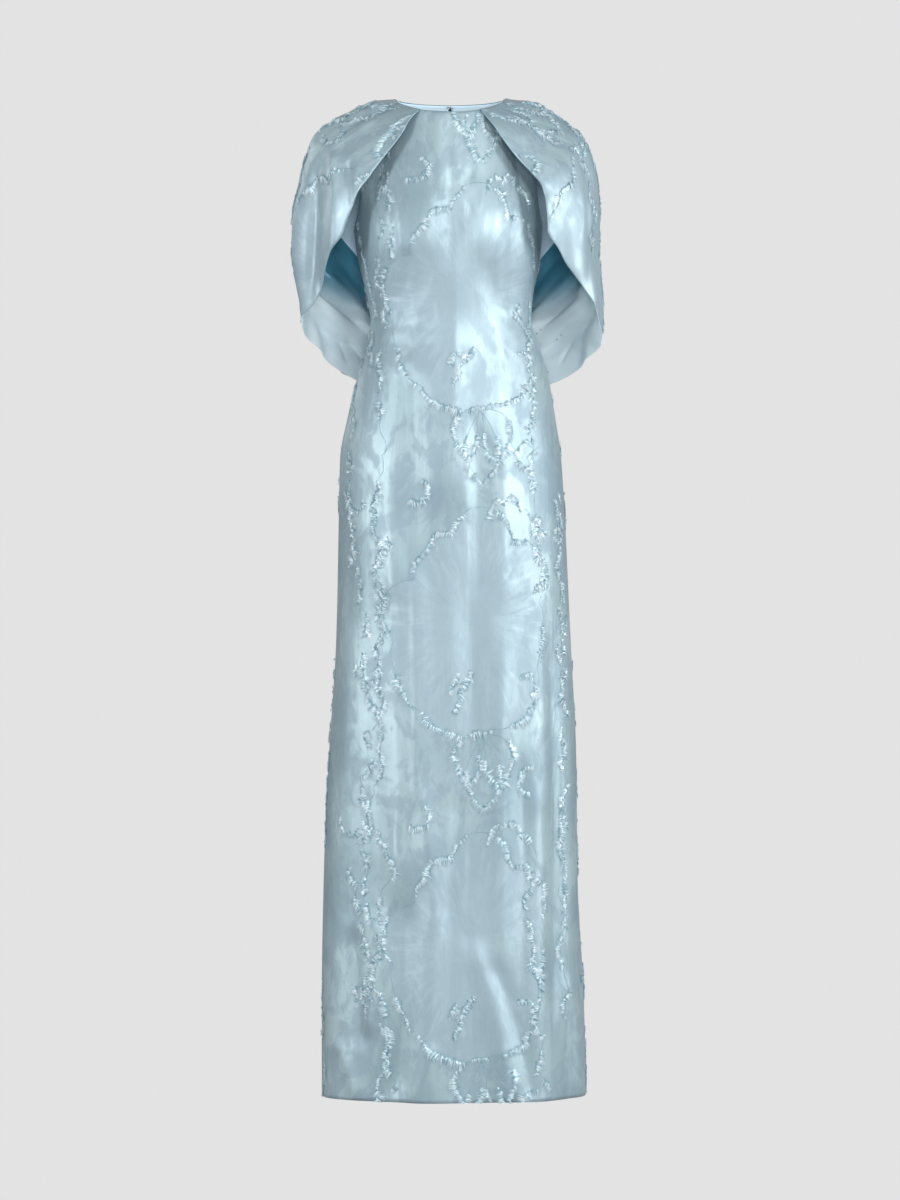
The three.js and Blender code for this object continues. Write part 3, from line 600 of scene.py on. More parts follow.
BACK_CREASES = {
    "left": [
        ((-60, 520), (-80, 900), 10, 5.0, 34, 0.9, 0.5), ((-120, 760), (-132, 1200), -8, -3.0, 22, 0.4, 0),
        ((-40, 1050), (-58, 1540), 10, 5.5, 34, 0.9, -0.5), ((-20, 372), (-96, 384), 5, -1.4, 7, 0.3, 0),
        ((-30, 395), (-108, 412), -4, -1.2, 7, 0.3, 0), ((-150, 1260), (-150, 1560), 6, 3.5, 20, 0.6, 0),
    ],
    "right": [
        ((48, 540), (62, 980), -8, 5.0, 34, 0.9, -0.5), ((118, 700), (140, 1180), 8, -3.2, 22, 0.4, 0),
        ((78, 1120), (94, 1560), -10, 5.5, 34, 0.9, 0.5), ((16, 366), (92, 380), 5, -1.4, 7, 0.3, 0),
        ((24, 392), (112, 404), -4, -1.2, 7, 0.3, 0), ((160, 1300), (170, 1570), -6, 3.2, 18, 0.6, 0),
    ],
}
BACK_COLUMNS = 54
BACK_SHIFT = 0.93  # where on the cloth the backs are cut, against the front


def nape_gap(points, drop, u, side):
    """Moves a panel's centre edge aside by half a seam's gap, and by a lens above the zip, where it parts."""
    top, bottom, half = NAPE_GAP
    gap = SEAM_GAP / 2 + half * np.sin(np.pi * np.clip((drop - top) / (bottom - top), 0, 1)) ** 1.4
    points[..., 0] += side * gap * (1 - np.abs(u)) ** 6


back_grids = {}
for name, side in (("left", -1), ("right", 1)):
    points, u = dress_grid(BACK_COLUMNS, SKIRT_ROWS, CHEST_ROWS, side * 1e-6, side, 1)
    normal = normals_of(points, (0, 1, 0))
    x, drop = points[..., 0], -points[..., 2]
    hold = (1 - np.abs(u) ** 12) * smooth(np.abs(u) / 0.12)
    relief = crease(x, drop, BACK_CREASES[name]) + ripple(x, drop, 11 + side, 0.0012, 0.09)
    points = points + normal * (relief * hold)[..., None]
    nape_gap(points, drop, u, side)
    normal = normals_of(points, (0, 1, 0))
    s, t = cloth_measure(points, 0)
    s = side * s + BACK_SHIFT
    back_grids[name] = (points, normal, s, t)
    panel = cloth_piece("gown_back_cloth_" + name, *back_grids[name], CLOTH, SATIN, SATIN_REVERSE_PAINTED_SHADE)
    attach(panel, "gown")
    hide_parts("gown_back_" + name)


# ---------------------------------------------------------------- cape
# Two halves of the same satin, sewn into the neckline, open at the front and joined at the centre back below
# a teardrop slit. The smooth reverse shows inside, with painted shade that darkens it towards the neck.

# Rings: ring, left, right, left drop, right drop, back, back drop, front, front drop, left and right edge
# angles. All but the angles are millimetres.
CAPE_RINGS = np.array([
    (0, 88, 88, -2, -2, 52, 2, 74, 26, 57, 57),
    (0.5, 120, 116, 1, 1, 56, 11, 83, 46, 58, 58),
    (1, 142, 141, 9, 9, 61, 22, 92, 66, 59, 58),
    (2, 190, 184, 34, 34, 76, 52, 104, 115, 56, 55),
    (3, 218, 212, 57, 57, 90, 88, 112, 143, 55, 52.5),
    (4, 231, 226, 89, 89, 102, 128, 118, 169, 52, 49.5),
    (5, 241, 237, 134, 134, 113, 172, 121, 198, 50, 50),
    (6, 251, 240, 186, 186, 124, 222, 120, 227, 49, 50),
    (7, 252, 238, 240, 240, 134, 278, 114, 263, 43, 41),
    (8, 245, 243, 292, 296, 143, 340, 104, 311, 32, 31),
    (9, 238, 247, 328, 338, 150, 407, 94, 359, 19, 19),
    (10, 236, 245, 362, 373, 155, 474, 84, 370, 1, 1),
], float)
SIDE_REACH, SIDE_DROP, EDGE_ANGLE = {"left": 1, "right": 2}, {"left": 3, "right": 4}, {"left": 9, "right": 10}
BACK_DEPTH, BACK_DROP, FRONT_DEPTH, FRONT_DROP = 5, 6, 7, 8
BACK_SAG = {"left": 1.25, "right": 0.97}

# Upright folds: degrees from the side to the back, depth in metres, half width in degrees, and first ring.
CAPE_FOLDS = {
    "left": [(-44, 0.008, 6, 2.5), (-30, -0.006, 6, 3), (-12, 0.005, 7, 4), (22, -0.009, 6, 7)],
    "right": [(-40, -0.006, 5, 3.5), (-26, 0.006, 7, 3), (-8, -0.004, 7, 4), (22, -0.009, 6, 7)],
}
# Swags across the back between the elbows: drop at the side and at the back, depth and half height, metres.
CAPE_SWAGS = [(0.205, 0.352, 0.007, 0.017), (0.240, 0.388, -0.010, 0.015), (0.300, 0.420, 0.007, 0.015)]
KEYHOLE = (0.002, 0.128, 0.014, 1.15)  # top and bottom drop, half width, and how low its widest place is


def ring_points(name, side, angle, ring):
    """Half an ellipse on either side of the body, by the angle from the side, whose drop eases from the
    side's to the back's or front's, with upright folds and swags moving it out."""
    turn = np.radians(angle)
    sine, cosine = np.sin(turn), np.cos(turn)
    share = np.abs(sine)
    value = lambda column: through(CAPE_RINGS, column, ring) / 1000
    reach = value(SIDE_REACH[name])
    depth = np.where(sine < 0, value(FRONT_DEPTH), value(BACK_DEPTH))
    end_drop = np.where(sine < 0, value(FRONT_DROP), value(BACK_DROP))
    sag = np.where(sine < 0, share, share ** (1 + (BACK_SAG[name] - 1) * ring / 10))
    side_drop = value(SIDE_DROP[name])
    drop = side_drop + (end_drop - side_drop) * sag
    folds = sum(
        deep * smooth((ring - first) / 3) * hump(angle, centre, wide)
        for centre, deep, wide, first in CAPE_FOLDS[name]
    )
    swags = sum(
        deep * hump(drop, low + (high - low) * np.maximum(sine, 0), wide)
        for low, high, deep, wide in CAPE_SWAGS
    )
    out = folds + swags * smooth((angle - 4) / 22)
    return np.stack([side * (reach + out) * cosine, np.sign(sine) * (depth + out) * share, -drop], -1)


def cape_points(name, side, angle, ring):
    """Ring points that start on the dress's neckline, moved out by its wall, and leave it by ring one."""
    points = ring_points(name, side, angle, ring)
    turn = np.radians(angle)
    away = np.stack([side * 0.33 * np.cos(turn), 0.95 * np.sin(turn), 0.94 - 0.61 * np.abs(np.sin(turn))], -1)
    away /= np.linalg.norm(away, axis=-1, keepdims=True)
    seam = neck_points(side, angle) + away * 0.0016
    start = ring_points(name, side, angle, 0 * ring)
    return points + (seam - start) * (1 - smooth(ring))[..., None]


# Creases of the cape in the front view, apart for the part in front and the part behind the arms. Behind, a
# depth above 0 is a hollow as seen from inside.
CAPE_CREASES = {
    ("left", "front"): [
        ((-188, 92), (-184, 250), 4, 8.5, 11, 0.5, 0.2), ((-164, 110), (-158, 244), 4, -7.5, 12, 0.4, 0),
        ((-216, 120), (-222, 300), 3, -5.0, 11, 0.4, 0), ((-104, 6), (-188, 34), 4, 2.8, 6, 0.4, 0),
        ((-96, 18), (-176, 58), -5, -3.0, 6, 0.3, 0), ((-118, 34), (-200, 84), 5, 2.6, 7, 0.4, 0),
        ((-92, 50), (-140, 150), 6, -2.4, 12, 0.2, 0), ((-150, 20), (-214, 70), -4, -2.6, 6, 0.3, 0),
        ((-216, 190), (-222, 330), -3, -3.4, 9, 0.3, 0), ((-150, 90), (-152, 170), 3, 2.6, 9, 0.4, 0),
    ],
    ("right", "front"): [
        ((112, 4), (186, 28), 4, 2.8, 6, 0.4, 0), ((100, 16), (180, 52), -5, -3.0, 6, 0.4, 0),
        ((124, 32), (196, 78), 4, 2.4, 8, 0.3, 0), ((176, 96), (196, 290), -4, 5.5, 24, 0.3, 0.2),
        ((214, 90), (222, 300), 3, -3.6, 10, 0.3, 0), ((112, 70), (150, 160), -5, -1.8, 10, 0.2, 0),
        ((228, 150), (232, 330), 3, 3.0, 9, 0.4, 0),
    ],
    ("left", "back"): [
        ((-176, 250), (-118, 346), 5, 10.0, 13, 0.4, 0), ((-204, 276), (-122, 366), 5, -11.0, 15, 0.7, 0.4),
        ((-212, 300), (-124, 386), 6, 7.0, 8, 0.6, 0), ((-218, 326), (-140, 392), 6, -5.0, 11, 0.5, 0),
        ((-212, 360), (-184, 380), 3, 4.0, 5, 0.6, 0), ((-188, 378), (-132, 384), -3, 4.0, 4, 0.6, 0),
        ((-182, 373), (-170, 410), 2, 4.2, 5, 0.6, 0), ((-168, 381), (-146, 405), 2, 3.4, 4.5, 0.6, 0),
        ((-150, 200), (-110, 262), 4, 5.0, 12, 0.3, 0),
    ],
    ("right", "back"): [
        ((170, 246), (112, 340), -5, 10.0, 13, 0.4, 0), ((200, 280), (120, 372), -6, -11.0, 15, 0.7, -0.4),
        ((208, 306), (122, 392), -5, 7.0, 8, 0.6, 0), ((216, 330), (140, 400), -5, -5.0, 11, 0.5, 0),
        ((216, 352), (176, 372), -3, 4.0, 5, 0.6, 0), ((180, 372), (128, 396), 3, 4.0, 4, 0.6, 0),
        ((200, 380), (182, 412), -2, 4.0, 5, 0.6, 0), ((150, 196), (106, 258), -4, 5.0, 12, 0.3, 0),
    ],
}
CAPE_COLUMNS, CAPE_ROWS = 116, 130
CAPE_SHIFT = 1.85  # where on the cloth each half is cut


def slit_cut(points, share, side):
    """Moves a cape half's centre edge aside by half a seam's gap, and by a teardrop below the nape."""
    top, bottom, half, low = KEYHOLE
    t = np.clip((-points[..., 2] - top) / (bottom - top), 0, 1)
    points[..., 0] += side * (SEAM_GAP / 2 + half * np.sin(np.pi * t**low)) * share**8


cape_grids = {}
for name, side in (("left", -1), ("right", 1)):
    ring = np.linspace(0, 10, CAPE_ROWS + 1)[:, None] + np.zeros((1, CAPE_COLUMNS + 1))
    share = np.linspace(0, 1, CAPE_COLUMNS + 1)[None, :] + 0 * ring
    first = -through(CAPE_RINGS, EDGE_ANGLE[name], ring)
    angle = first + (90 - first) * share
    points = cape_points(name, side, angle, ring)
    slit_cut(points, share, side)
    normal = normals_of(points, (side, 0.6, 0))
    x, drop, behind = points[..., 0], -points[..., 2], smooth((angle - 2) / 12)
    relief = crease(x, drop, CAPE_CREASES[name, "front"]) * (1 - behind)
    relief += crease(x, drop, CAPE_CREASES[name, "back"]) * behind
    relief += ripple(angle / 90 * 0.25, drop, 17 + side, 0.0012, 0.07)
    hold = smooth(ring / 0.6) * smooth((1 - share) / 0.04)
    points = points + normal * (relief * hold)[..., None]
    normal = normals_of(points, (side, 0.6, 0))
    steps = np.linalg.norm(np.diff(points, axis=1), axis=2)
    along = np.c_[np.zeros(len(points)), np.cumsum(steps, 1)]
    at_side = np.array([np.interp(0, row_angle, row) for row_angle, row in zip(angle, along)])
    down = np.linalg.norm(np.diff(points, axis=0), axis=2)
    below = np.r_[np.zeros((1, CAPE_COLUMNS + 1)), np.cumsum(down, 0)]
    s = side * (along - at_side[:, None]) + side * CAPE_SHIFT
    cape_grids[name] = (points, normal, s, below)
    half_cape = cloth_piece("cape_cloth_" + name, *cape_grids[name], CLOTH, SATIN, SATIN_REVERSE_PAINTED_SHADE)
    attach(half_cape, "gown")
    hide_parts("cape_" + name)


# ---------------------------------------------------------------- cape facings
# A smooth facing lines the upper part of each cape half at the back. Its lower edge is straight where it
# crosses the armhole, and is turned and slip-stitched.

# Lower edge of each facing as seen from the front: how far aside, and drop, in millimetres.
FACING_EDGE = np.array([(0, 318), (90, 300), (146, 248), (176, 214), (260, 128)]) / 1000
FACING_FIRST_SHARE, FACING_TOP_RING, FACING_LAST_RING = 0.5, 0.5, 7.5
FACING = 0.0008
FACING_ACROSS, FACING_DOWN, FACING_TRIALS = 37, 41, 141


def facing_points(name, side, share, ring):
    """The cape's surface by its share from the front edge to the centre back, with the slit's edge."""
    first = -through(CAPE_RINGS, EDGE_ANGLE[name], ring)
    points = cape_points(name, side, first + (90 - first) * share, ring)
    slit_cut(points, share, side)
    return points


for name, side in (("left", -1), ("right", 1)):
    share = np.linspace(FACING_FIRST_SHARE, 1, FACING_ACROSS)[None, :]
    scan = np.linspace(FACING_TOP_RING, FACING_LAST_RING, FACING_TRIALS)[:, None]
    trial = facing_points(name, side, share + 0 * scan, scan + 0 * share)
    over = np.interp(np.abs(trial[..., 0]), FACING_EDGE[:, 0], FACING_EDGE[:, 1]) + trial[..., 2]
    below = (over < 0).argmax(0)
    inside = ~(over < 0).any(0)
    k = np.maximum(below - 1, 0)
    column = np.arange(FACING_ACROSS)
    part = over[k, column] / np.maximum(over[k, column] - over[below, column], 1e-9)
    last = np.where(inside, FACING_LAST_RING, scan[k, 0] + np.clip(part, 0, 1) * (scan[1, 0] - scan[0, 0]))
    ring = FACING_TOP_RING + (last - FACING_TOP_RING) * np.linspace(0, 1, FACING_DOWN)[:, None]
    points = facing_points(name, side, share + 0 * ring, ring)
    normal = normals_of(points, (side, 0.6, 0))
    points = points - normal * (CLOTH + 4 * SEAM_GAP)
    s, t = cloth_measure(points, 0)
    lining = cloth_piece("cape_facing_cloth_" + name, points, normal, s, t, FACING, *FACING_SIDES_PAINTED_LIGHT)
    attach(lining, "gown")
    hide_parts("cape_facing_" + name)


# ---------------------------------------------------------------- neck facings
# Two shaped strips of the facing satin inside the back neck, understitched to the back panels.

FACING_LOW_SHARE = 0.84  # how far up from the armhole to the neckline they start
for name, side in (("left", -1), ("right", 1)):
    u = side * np.linspace(1e-6, NECK_SHARE, 31)[None, :]
    climb = np.linspace(FACING_LOW_SHARE, 1, 15)[:, None]
    u = u + 0 * climb
    drop = ARMHOLE_DROP + climb * (-top_edge(u, 1)[..., 2] - ARMHOLE_DROP)
    points = dress_points(u, drop, 1)
    nape_gap(points, drop, u, side)
    normal = normals_of(points, (0, 1, 0.3))
    points = points - normal * (CLOTH + 3 * SEAM_GAP)
    s, t = cloth_measure(points, 0)
    strip = cloth_piece("neck_facing_cloth_" + name, points, normal, s, t, FACING, *FACING_SIDES_PAINTED_LIGHT)
    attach(strip, "gown")
    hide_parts("neck_facing_" + name)


# ---------------------------------------------------------------- zip guard
# A short strip of darker grosgrain behind the parting edges at the nape, stitched to one side above the zip.
# Its dark colour is painted shade for the notch between the parting edges.

GUARD_HALF, GUARD_TOP, GUARD_BOTTOM = 0.009, 0.006, 0.034
GUARD_CURVE = 2.2  # it rounds away to either side
# Dark teal, painted shade for the notch at the nape.
GUARD_PAINTED_SHADE, GUARD_PAINTED_SHADE_RIB = rgb(38, 74, 88), rgb(62, 104, 120)


def grosgrain():
    """A dull ribbed ribbon, dark teal as painted shade."""
    rib = ribs(cloth_place(), 300.0, bands_direction="Y")
    bump = bumped(rib, 0.3, 0.0003)
    return {"Base Color": rib.tint(GUARD_PAINTED_SHADE, GUARD_PAINTED_SHADE_RIB), "Roughness": 0.7, "Normal": bump}


drop, across = np.meshgrid(
    np.linspace(GUARD_BOTTOM, GUARD_TOP, 15), np.linspace(-GUARD_HALF, GUARD_HALF, 13), indexing="ij"
)
behind = dress_points(np.full_like(drop, 1e-6), drop, 1)[..., 1]
points = np.stack([across, behind + CLOTH + 3 * SEAM_GAP - GUARD_CURVE * across**2, -drop], -1)
normal = normals_of(points, (0, 1, 0))
GROSGRAIN_PAINTED_SHADE = finish("grosgrain", grosgrain)
guard = cloth_piece("zip_guard_painted_shade", points, normal, across, drop, FACING, GROSGRAIN_PAINTED_SHADE, GROSGRAIN_PAINTED_SHADE)
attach(guard, "gown")


# ---------------------------------------------------------------- clipped threads
# The cloth's figures are woven with extra weft, cut between the figures, so each line bristles with a comb of
# short thread ends that run across the cloth and droop. Their roots are held in the satin.

# Figures of one repeat: kind, place across and down in metres, size, turn in degrees, and seed.
FIGURES = [
    ("bloom", *BLOOM_PLACE, 1.00, 0, 1), ("sprig", 0.046, 0.500, 1.00, 0, 2),
    ("wander", -0.118, 0.000, 1.00, 0, 3), ("wander", 0.196, 0.120, 0.62, 0, 4),
    ("curl", -0.175, 0.120, 1.00, 20, 5), ("curl", 0.135, 0.052, 1.00, -60, 6),
    ("spray", 0.010, 0.405, 1.00, 0, 11), ("spray", -0.165, 0.385, 0.90, 30, 12),
    ("curl", -0.060, 0.120, 0.90, 95, 8), ("wander", -0.170, 0.200, 0.30, 12, 9),
    ("curl", 0.120, 0.430, 0.80, 160, 10), ("arcs", 0.100, 0.140, 1.00, 0, 13),
]


def wave(q, rng, count=4):
    """A seeded smooth wobble along q, between about -1 and 1."""
    return sum(np.sin(q * rng.uniform(2, 9) + rng.uniform(0, 6.28)) for _ in range(count)) / count


def bloom_lines(rng):
    """A wide blossom: its outline is combed along some stretches and a plain vein along the others."""
    turn = np.linspace(-np.pi, np.pi, 300)
    reach = bloom_outline(turn) * (1 + 0.02 * wave(turn * 4, rng))
    outline = np.stack([BLOOM_REACH[0] * reach * np.sin(turn), -BLOOM_REACH[1] * reach * np.cos(turn)], -1)
    return [(outline, np.clip(0.55 + 1.9 * wave(turn * 1.3, rng), 0, 1))]


# The leaves of a sprig: lean of the stalk, how the leaf bends on, length and half width.
LEAVES = [(-0.95, 0.75, 0.078, 0.024), (0.10, -0.05, 0.118, 0.029), (1.05, -0.70, 0.088, 0.026)]


def sprig_lines(rng):
    """Three drop-shaped leaves that hang from one point: plain at the stalk and combed round the tip."""
    lines = []
    for lean, curve, length, wide in LEAVES:
        q = np.linspace(0, 1, 60)
        for flank in (-1, 1):
            along = length * q
            across = flank * wide * np.sin(np.pi * q**1.2) ** 0.9 + 0.0015 * wave(q * 5, rng)
            sine, cosine = np.sin(lean + curve * q), np.cos(lean + curve * q)
            line = np.stack([along * sine + across * cosine, along * cosine - across * sine], -1)
            lines.append((line, np.clip((q - 0.30) * 5, 0, 1) * np.clip(0.9 + 0.5 * wave(q * 3, rng), 0, 1)))
    return lines


def wander_lines(rng):
    """One line that winds down a whole repeat, with breaks."""
    q = np.linspace(0, 1, 260)
    aside = 0.030 * wave(q * 3, rng) + 0.012 * wave(q * 9, rng) + 0.005 * wave(q * 24, rng)
    line = np.stack([np.sin(np.pi * q) ** 0.5 * aside, q * TILE_TALL], -1)
    return [(line, np.clip(0.75 + 1.5 * wave(q * 5, rng), 0, 1))]


def curl_lines(rng):
    """A short hooked stroke."""
    q = np.linspace(0, 1, 50)
    turn = 0.6 + 3.0 * q
    radius = 0.026 * (1 - 0.45 * q) * (1 + 0.12 * wave(q * 4, rng))
    line = np.stack([radius * np.cos(turn), 1.3 * radius * np.sin(turn)], -1)
    return [(line, np.clip(0.9 + wave(q * 4, rng), 0, 1))]


def spray_lines(rng):
    """A few short slanting strokes side by side."""
    q = np.linspace(0, 1, 20)
    full = 0.3 + 0.7 * np.sin(np.pi * q)
    return [
        (np.stack([x - 0.016 * q, y + 0.030 * q + 0.002 * wave(q * 4, rng)], -1), full)
        for x, y in ((0, 0), (0.013, 0.006), (0.024, -0.006), (0.006, 0.030))
    ]


def arcs_lines(rng):
    """A run of small scallops, like the rim of a half-hidden blossom."""
    q = np.linspace(0, 1, 120)
    scallops = -0.016 * np.abs(np.sin(3 * np.pi * q)) ** 0.7
    line = np.stack([0.085 * (q - 0.5), scallops + 0.035 * (q - 0.4) ** 2 * 4], -1)
    return [(line, np.clip(0.7 + 1.1 * wave(q * 6, rng), 0, 1))]


KINDS = {
    "bloom": bloom_lines, "sprig": sprig_lines, "wander": wander_lines,
    "curl": curl_lines, "spray": spray_lines, "arcs": arcs_lines,
}


def tiles(span, start, tile):
    """The numbers of the tiles that may reach into a span, with some to spare."""
    return range(int((span[0] - start) / tile) - 2, int((span[1] - start) / tile) + 2)


def figure_lines(over_s, over_t):
    """Every figure's lines over a stretch of cloth, repeated by the tile: places (s, t) and fullness."""
    found = []
    for kind, s0, t0, size, degrees, seed in FIGURES:
        cosine, sine = np.cos(np.radians(degrees)), np.sin(np.radians(degrees))
        for column in tiles(over_s, 0, TILE_WIDE):
            start = t0 + column * TILE_TALL / 2
            for row in tiles(over_t, start, TILE_TALL):
                number = seed if kind == "bloom" else (seed, column + 50, row + 50)
                shapes = KINDS[kind](np.random.default_rng(number))
                centre = np.array((s0 + column * TILE_WIDE, start + row * TILE_TALL))
                for line, full in shapes:
                    turned = np.stack([
                        line[:, 0] * cosine + line[:, 1] * sine,
                        line[:, 1] * cosine - line[:, 0] * sine,
                    ], -1)
                    found.append((centre + turned * size, full))
    return found


# More combs run over each shoulder and down the outer side of the cape: start and end across the cloth from
# the side and down from the neck, in metres, wobble, and seed.
CAPE_LINES = {
    "left": [
        ((0.012, 0.030), (-0.004, 0.440), 0.012, 61), ((0.050, 0.012), (0.030, 0.105), 0.012, 62),
        ((0.020, 0.008), (0.062, 0.060), 0.010, 63), ((0.034, 0.020), (-0.010, 0.075), 0.010, 64),
    ],
    "right": [
        ((-0.002, 0.060), (0.004, 0.440), 0.012, 65), ((-0.070, 0.030), (-0.030, 0.330), 0.016, 66),
        ((-0.034, 0.010), (-0.010, 0.085), 0.010, 67),
    ],
}

# Long combs wind down the front of the dress between the blossoms, in the same measures.
FRONT_LINES = [
    ((-0.186, 0.330), (-0.172, 0.760), 0.013, 71), ((-0.110, 0.700), (-0.150, 1.190), 0.016, 72),
    ((-0.150, 1.160), (-0.100, 1.570), 0.015, 73), ((0.128, 0.330), (0.146, 0.790), 0.014, 74),
    ((0.186, 0.640), (0.204, 1.300), 0.010, 75), ((0.122, 1.215), (0.150, 1.570), 0.013, 76),
    ((-0.108, 0.080), (-0.088, 0.270), 0.008, 77),
]


def winding_line(start, end, wobble, seed):
    """A line of cloth places from start to end that winds to either side, with its fullness."""
    rng = np.random.default_rng(seed)
    q = np.linspace(0, 1, 160)
    run = np.subtract(end, start)
    aside = np.array((run[1], -run[0])) / np.hypot(*run)
    length = np.hypot(*run) / 0.5
    turns = wobble * (wave(q * 6 * length, rng) + 0.5 * wave(q * 22 * length, rng))
    line = np.asarray(start) + q[:, None] * run + turns[:, None] * aside
    return line, np.clip(0.85 + 1.3 * wave(q * 9 * length, rng), 0, 1)


def read(field, j, i):
    """Bilinear reading of a grid field at fractional rows j and columns i."""
    j0 = np.clip(j.astype(int), 0, field.shape[0] - 2)
    i0 = np.clip(i.astype(int), 0, field.shape[1] - 2)
    fj, fi = j - j0, i - i0
    if field.ndim == 3:
        fj, fi = fj[:, None], fi[:, None]
    low = field[j0, i0] * (1 - fi) + field[j0, i0 + 1] * fi
    high = field[j0 + 1, i0] * (1 - fi) + field[j0 + 1, i0 + 1] * fi
    return low * (1 - fj) + high * fj


def slopes(grid, j, i):
    """Change of s by column and by row, then of t by column and by row, at fractional rows and columns."""
    (Sj, Si), (Tj, Ti) = (np.gradient(field) for field in grid[2:])
    return [read(field, j, i) for field in (Si, Sj, Ti, Tj)]


def stepped(grid, j, i, step):
    """Fractional rows and columns after a small step (s, t) over the cloth, kept on the piece."""
    a, b, c, d = slopes(grid, j, i)
    area = a * d - b * c
    area = np.where(np.abs(area) < 1e-9, 1e-9, area)
    i = i + (d * step[:, 0] - b * step[:, 1]) / area
    j = j + (a * step[:, 1] - c * step[:, 0]) / area
    rows, columns = grid[2].shape
    return np.clip(j, 0, rows - 1), np.clip(i, 0, columns - 1)


def locate(grid, s, t):
    """Where places (s, t) of the cloth lie on its grid: fractional rows and columns, and which are inside. It
    starts at the nearest of a coarse set of grid points, and steps on by what is missing."""
    S, T = grid[2:]
    coarse_j, coarse_i = (v.ravel() for v in np.mgrid[0 : S.shape[0] : 8, 0 : S.shape[1] : 6])
    coarse = np.stack([S[coarse_j, coarse_i], T[coarse_j, coarse_i]], -1)
    nearest = np.concatenate([
        ((np.stack([a, b], -1)[:, None] - coarse) ** 2).sum(-1).argmin(1)
        for a, b in zip(np.array_split(s, 40), np.array_split(t, 40))
    ])
    j, i = coarse_j[nearest].astype(float), coarse_i[nearest].astype(float)
    for _ in range(12):
        j, i = stepped(grid, j, i, np.stack([s - read(S, j, i), t - read(T, j, i)], -1))
    inside = np.hypot(s - read(S, j, i), t - read(T, j, i)) < 0.0006
    return j, i, inside


def unit(v):
    """Rows of v at length one."""
    return v / np.maximum(np.linalg.norm(v, axis=1, keepdims=True), 1e-9)


def frame_at(grid, j, i):
    """Point, direction of s, direction of t and normal at fractional rows and columns."""
    points, normal = grid[:2]
    a, b, c, d = (v[:, None] for v in slopes(grid, j, i))
    area = a * d - b * c
    pj, pi = (read(np.gradient(points, axis=k), j, i) for k in (0, 1))
    along_s = (pi * d - pj * c) / area
    along_t = (pj * a - pi * b) / area
    return read(points, j, i), unit(along_s), unit(along_t), unit(read(normal, j, i))


LOCK_PITCH = 0.0023  # how far apart the locks of threads stand along a line
STRANDS_A_LOCK = 9
THREAD_RADIUS = 0.00036


def lock_roots(lines, rng):
    """Uneven places along each line where it is full enough: place, fullness, the bearing in which the
    threads lie, square to the line and mostly downwards, and their length, which changes slowly along it."""
    rows = []
    for line, full in lines:
        run = np.r_[0, np.cumsum(np.linalg.norm(np.diff(line, axis=0), axis=1))]
        at = np.arange(rng.uniform(0, LOCK_PITCH), run[-1], LOCK_PITCH)
        at = at + rng.uniform(-0.5, 0.5, len(at)) * LOCK_PITCH
        share = np.interp(at, run, full)
        ahead_s, ahead_t = (np.interp(at, run, np.gradient(line[:, k])) for k in (0, 1))
        side = np.where(wave(at * 14, rng) + rng.normal(0, 0.08, len(at)) < 0, -1.0, 1.0)
        side = np.where(np.abs(ahead_s) > 0.7 * np.abs(ahead_t), np.sign(ahead_s), side)
        bearing = np.arctan2(ahead_s * side, -ahead_t * side) + 0.35 * wave(at * 20, rng)
        size = np.clip(0.95 + 0.6 * wave(at * 22, rng), 0.5, 1.5)
        there = [np.interp(at, run, line[:, k]) for k in (0, 1)]
        keep = rng.uniform(0, 1, len(at)) < share * 1.8 - 0.35
        rows.append(np.stack([*there, share, bearing, size])[:, keep])
    return np.concatenate(rows, axis=1)


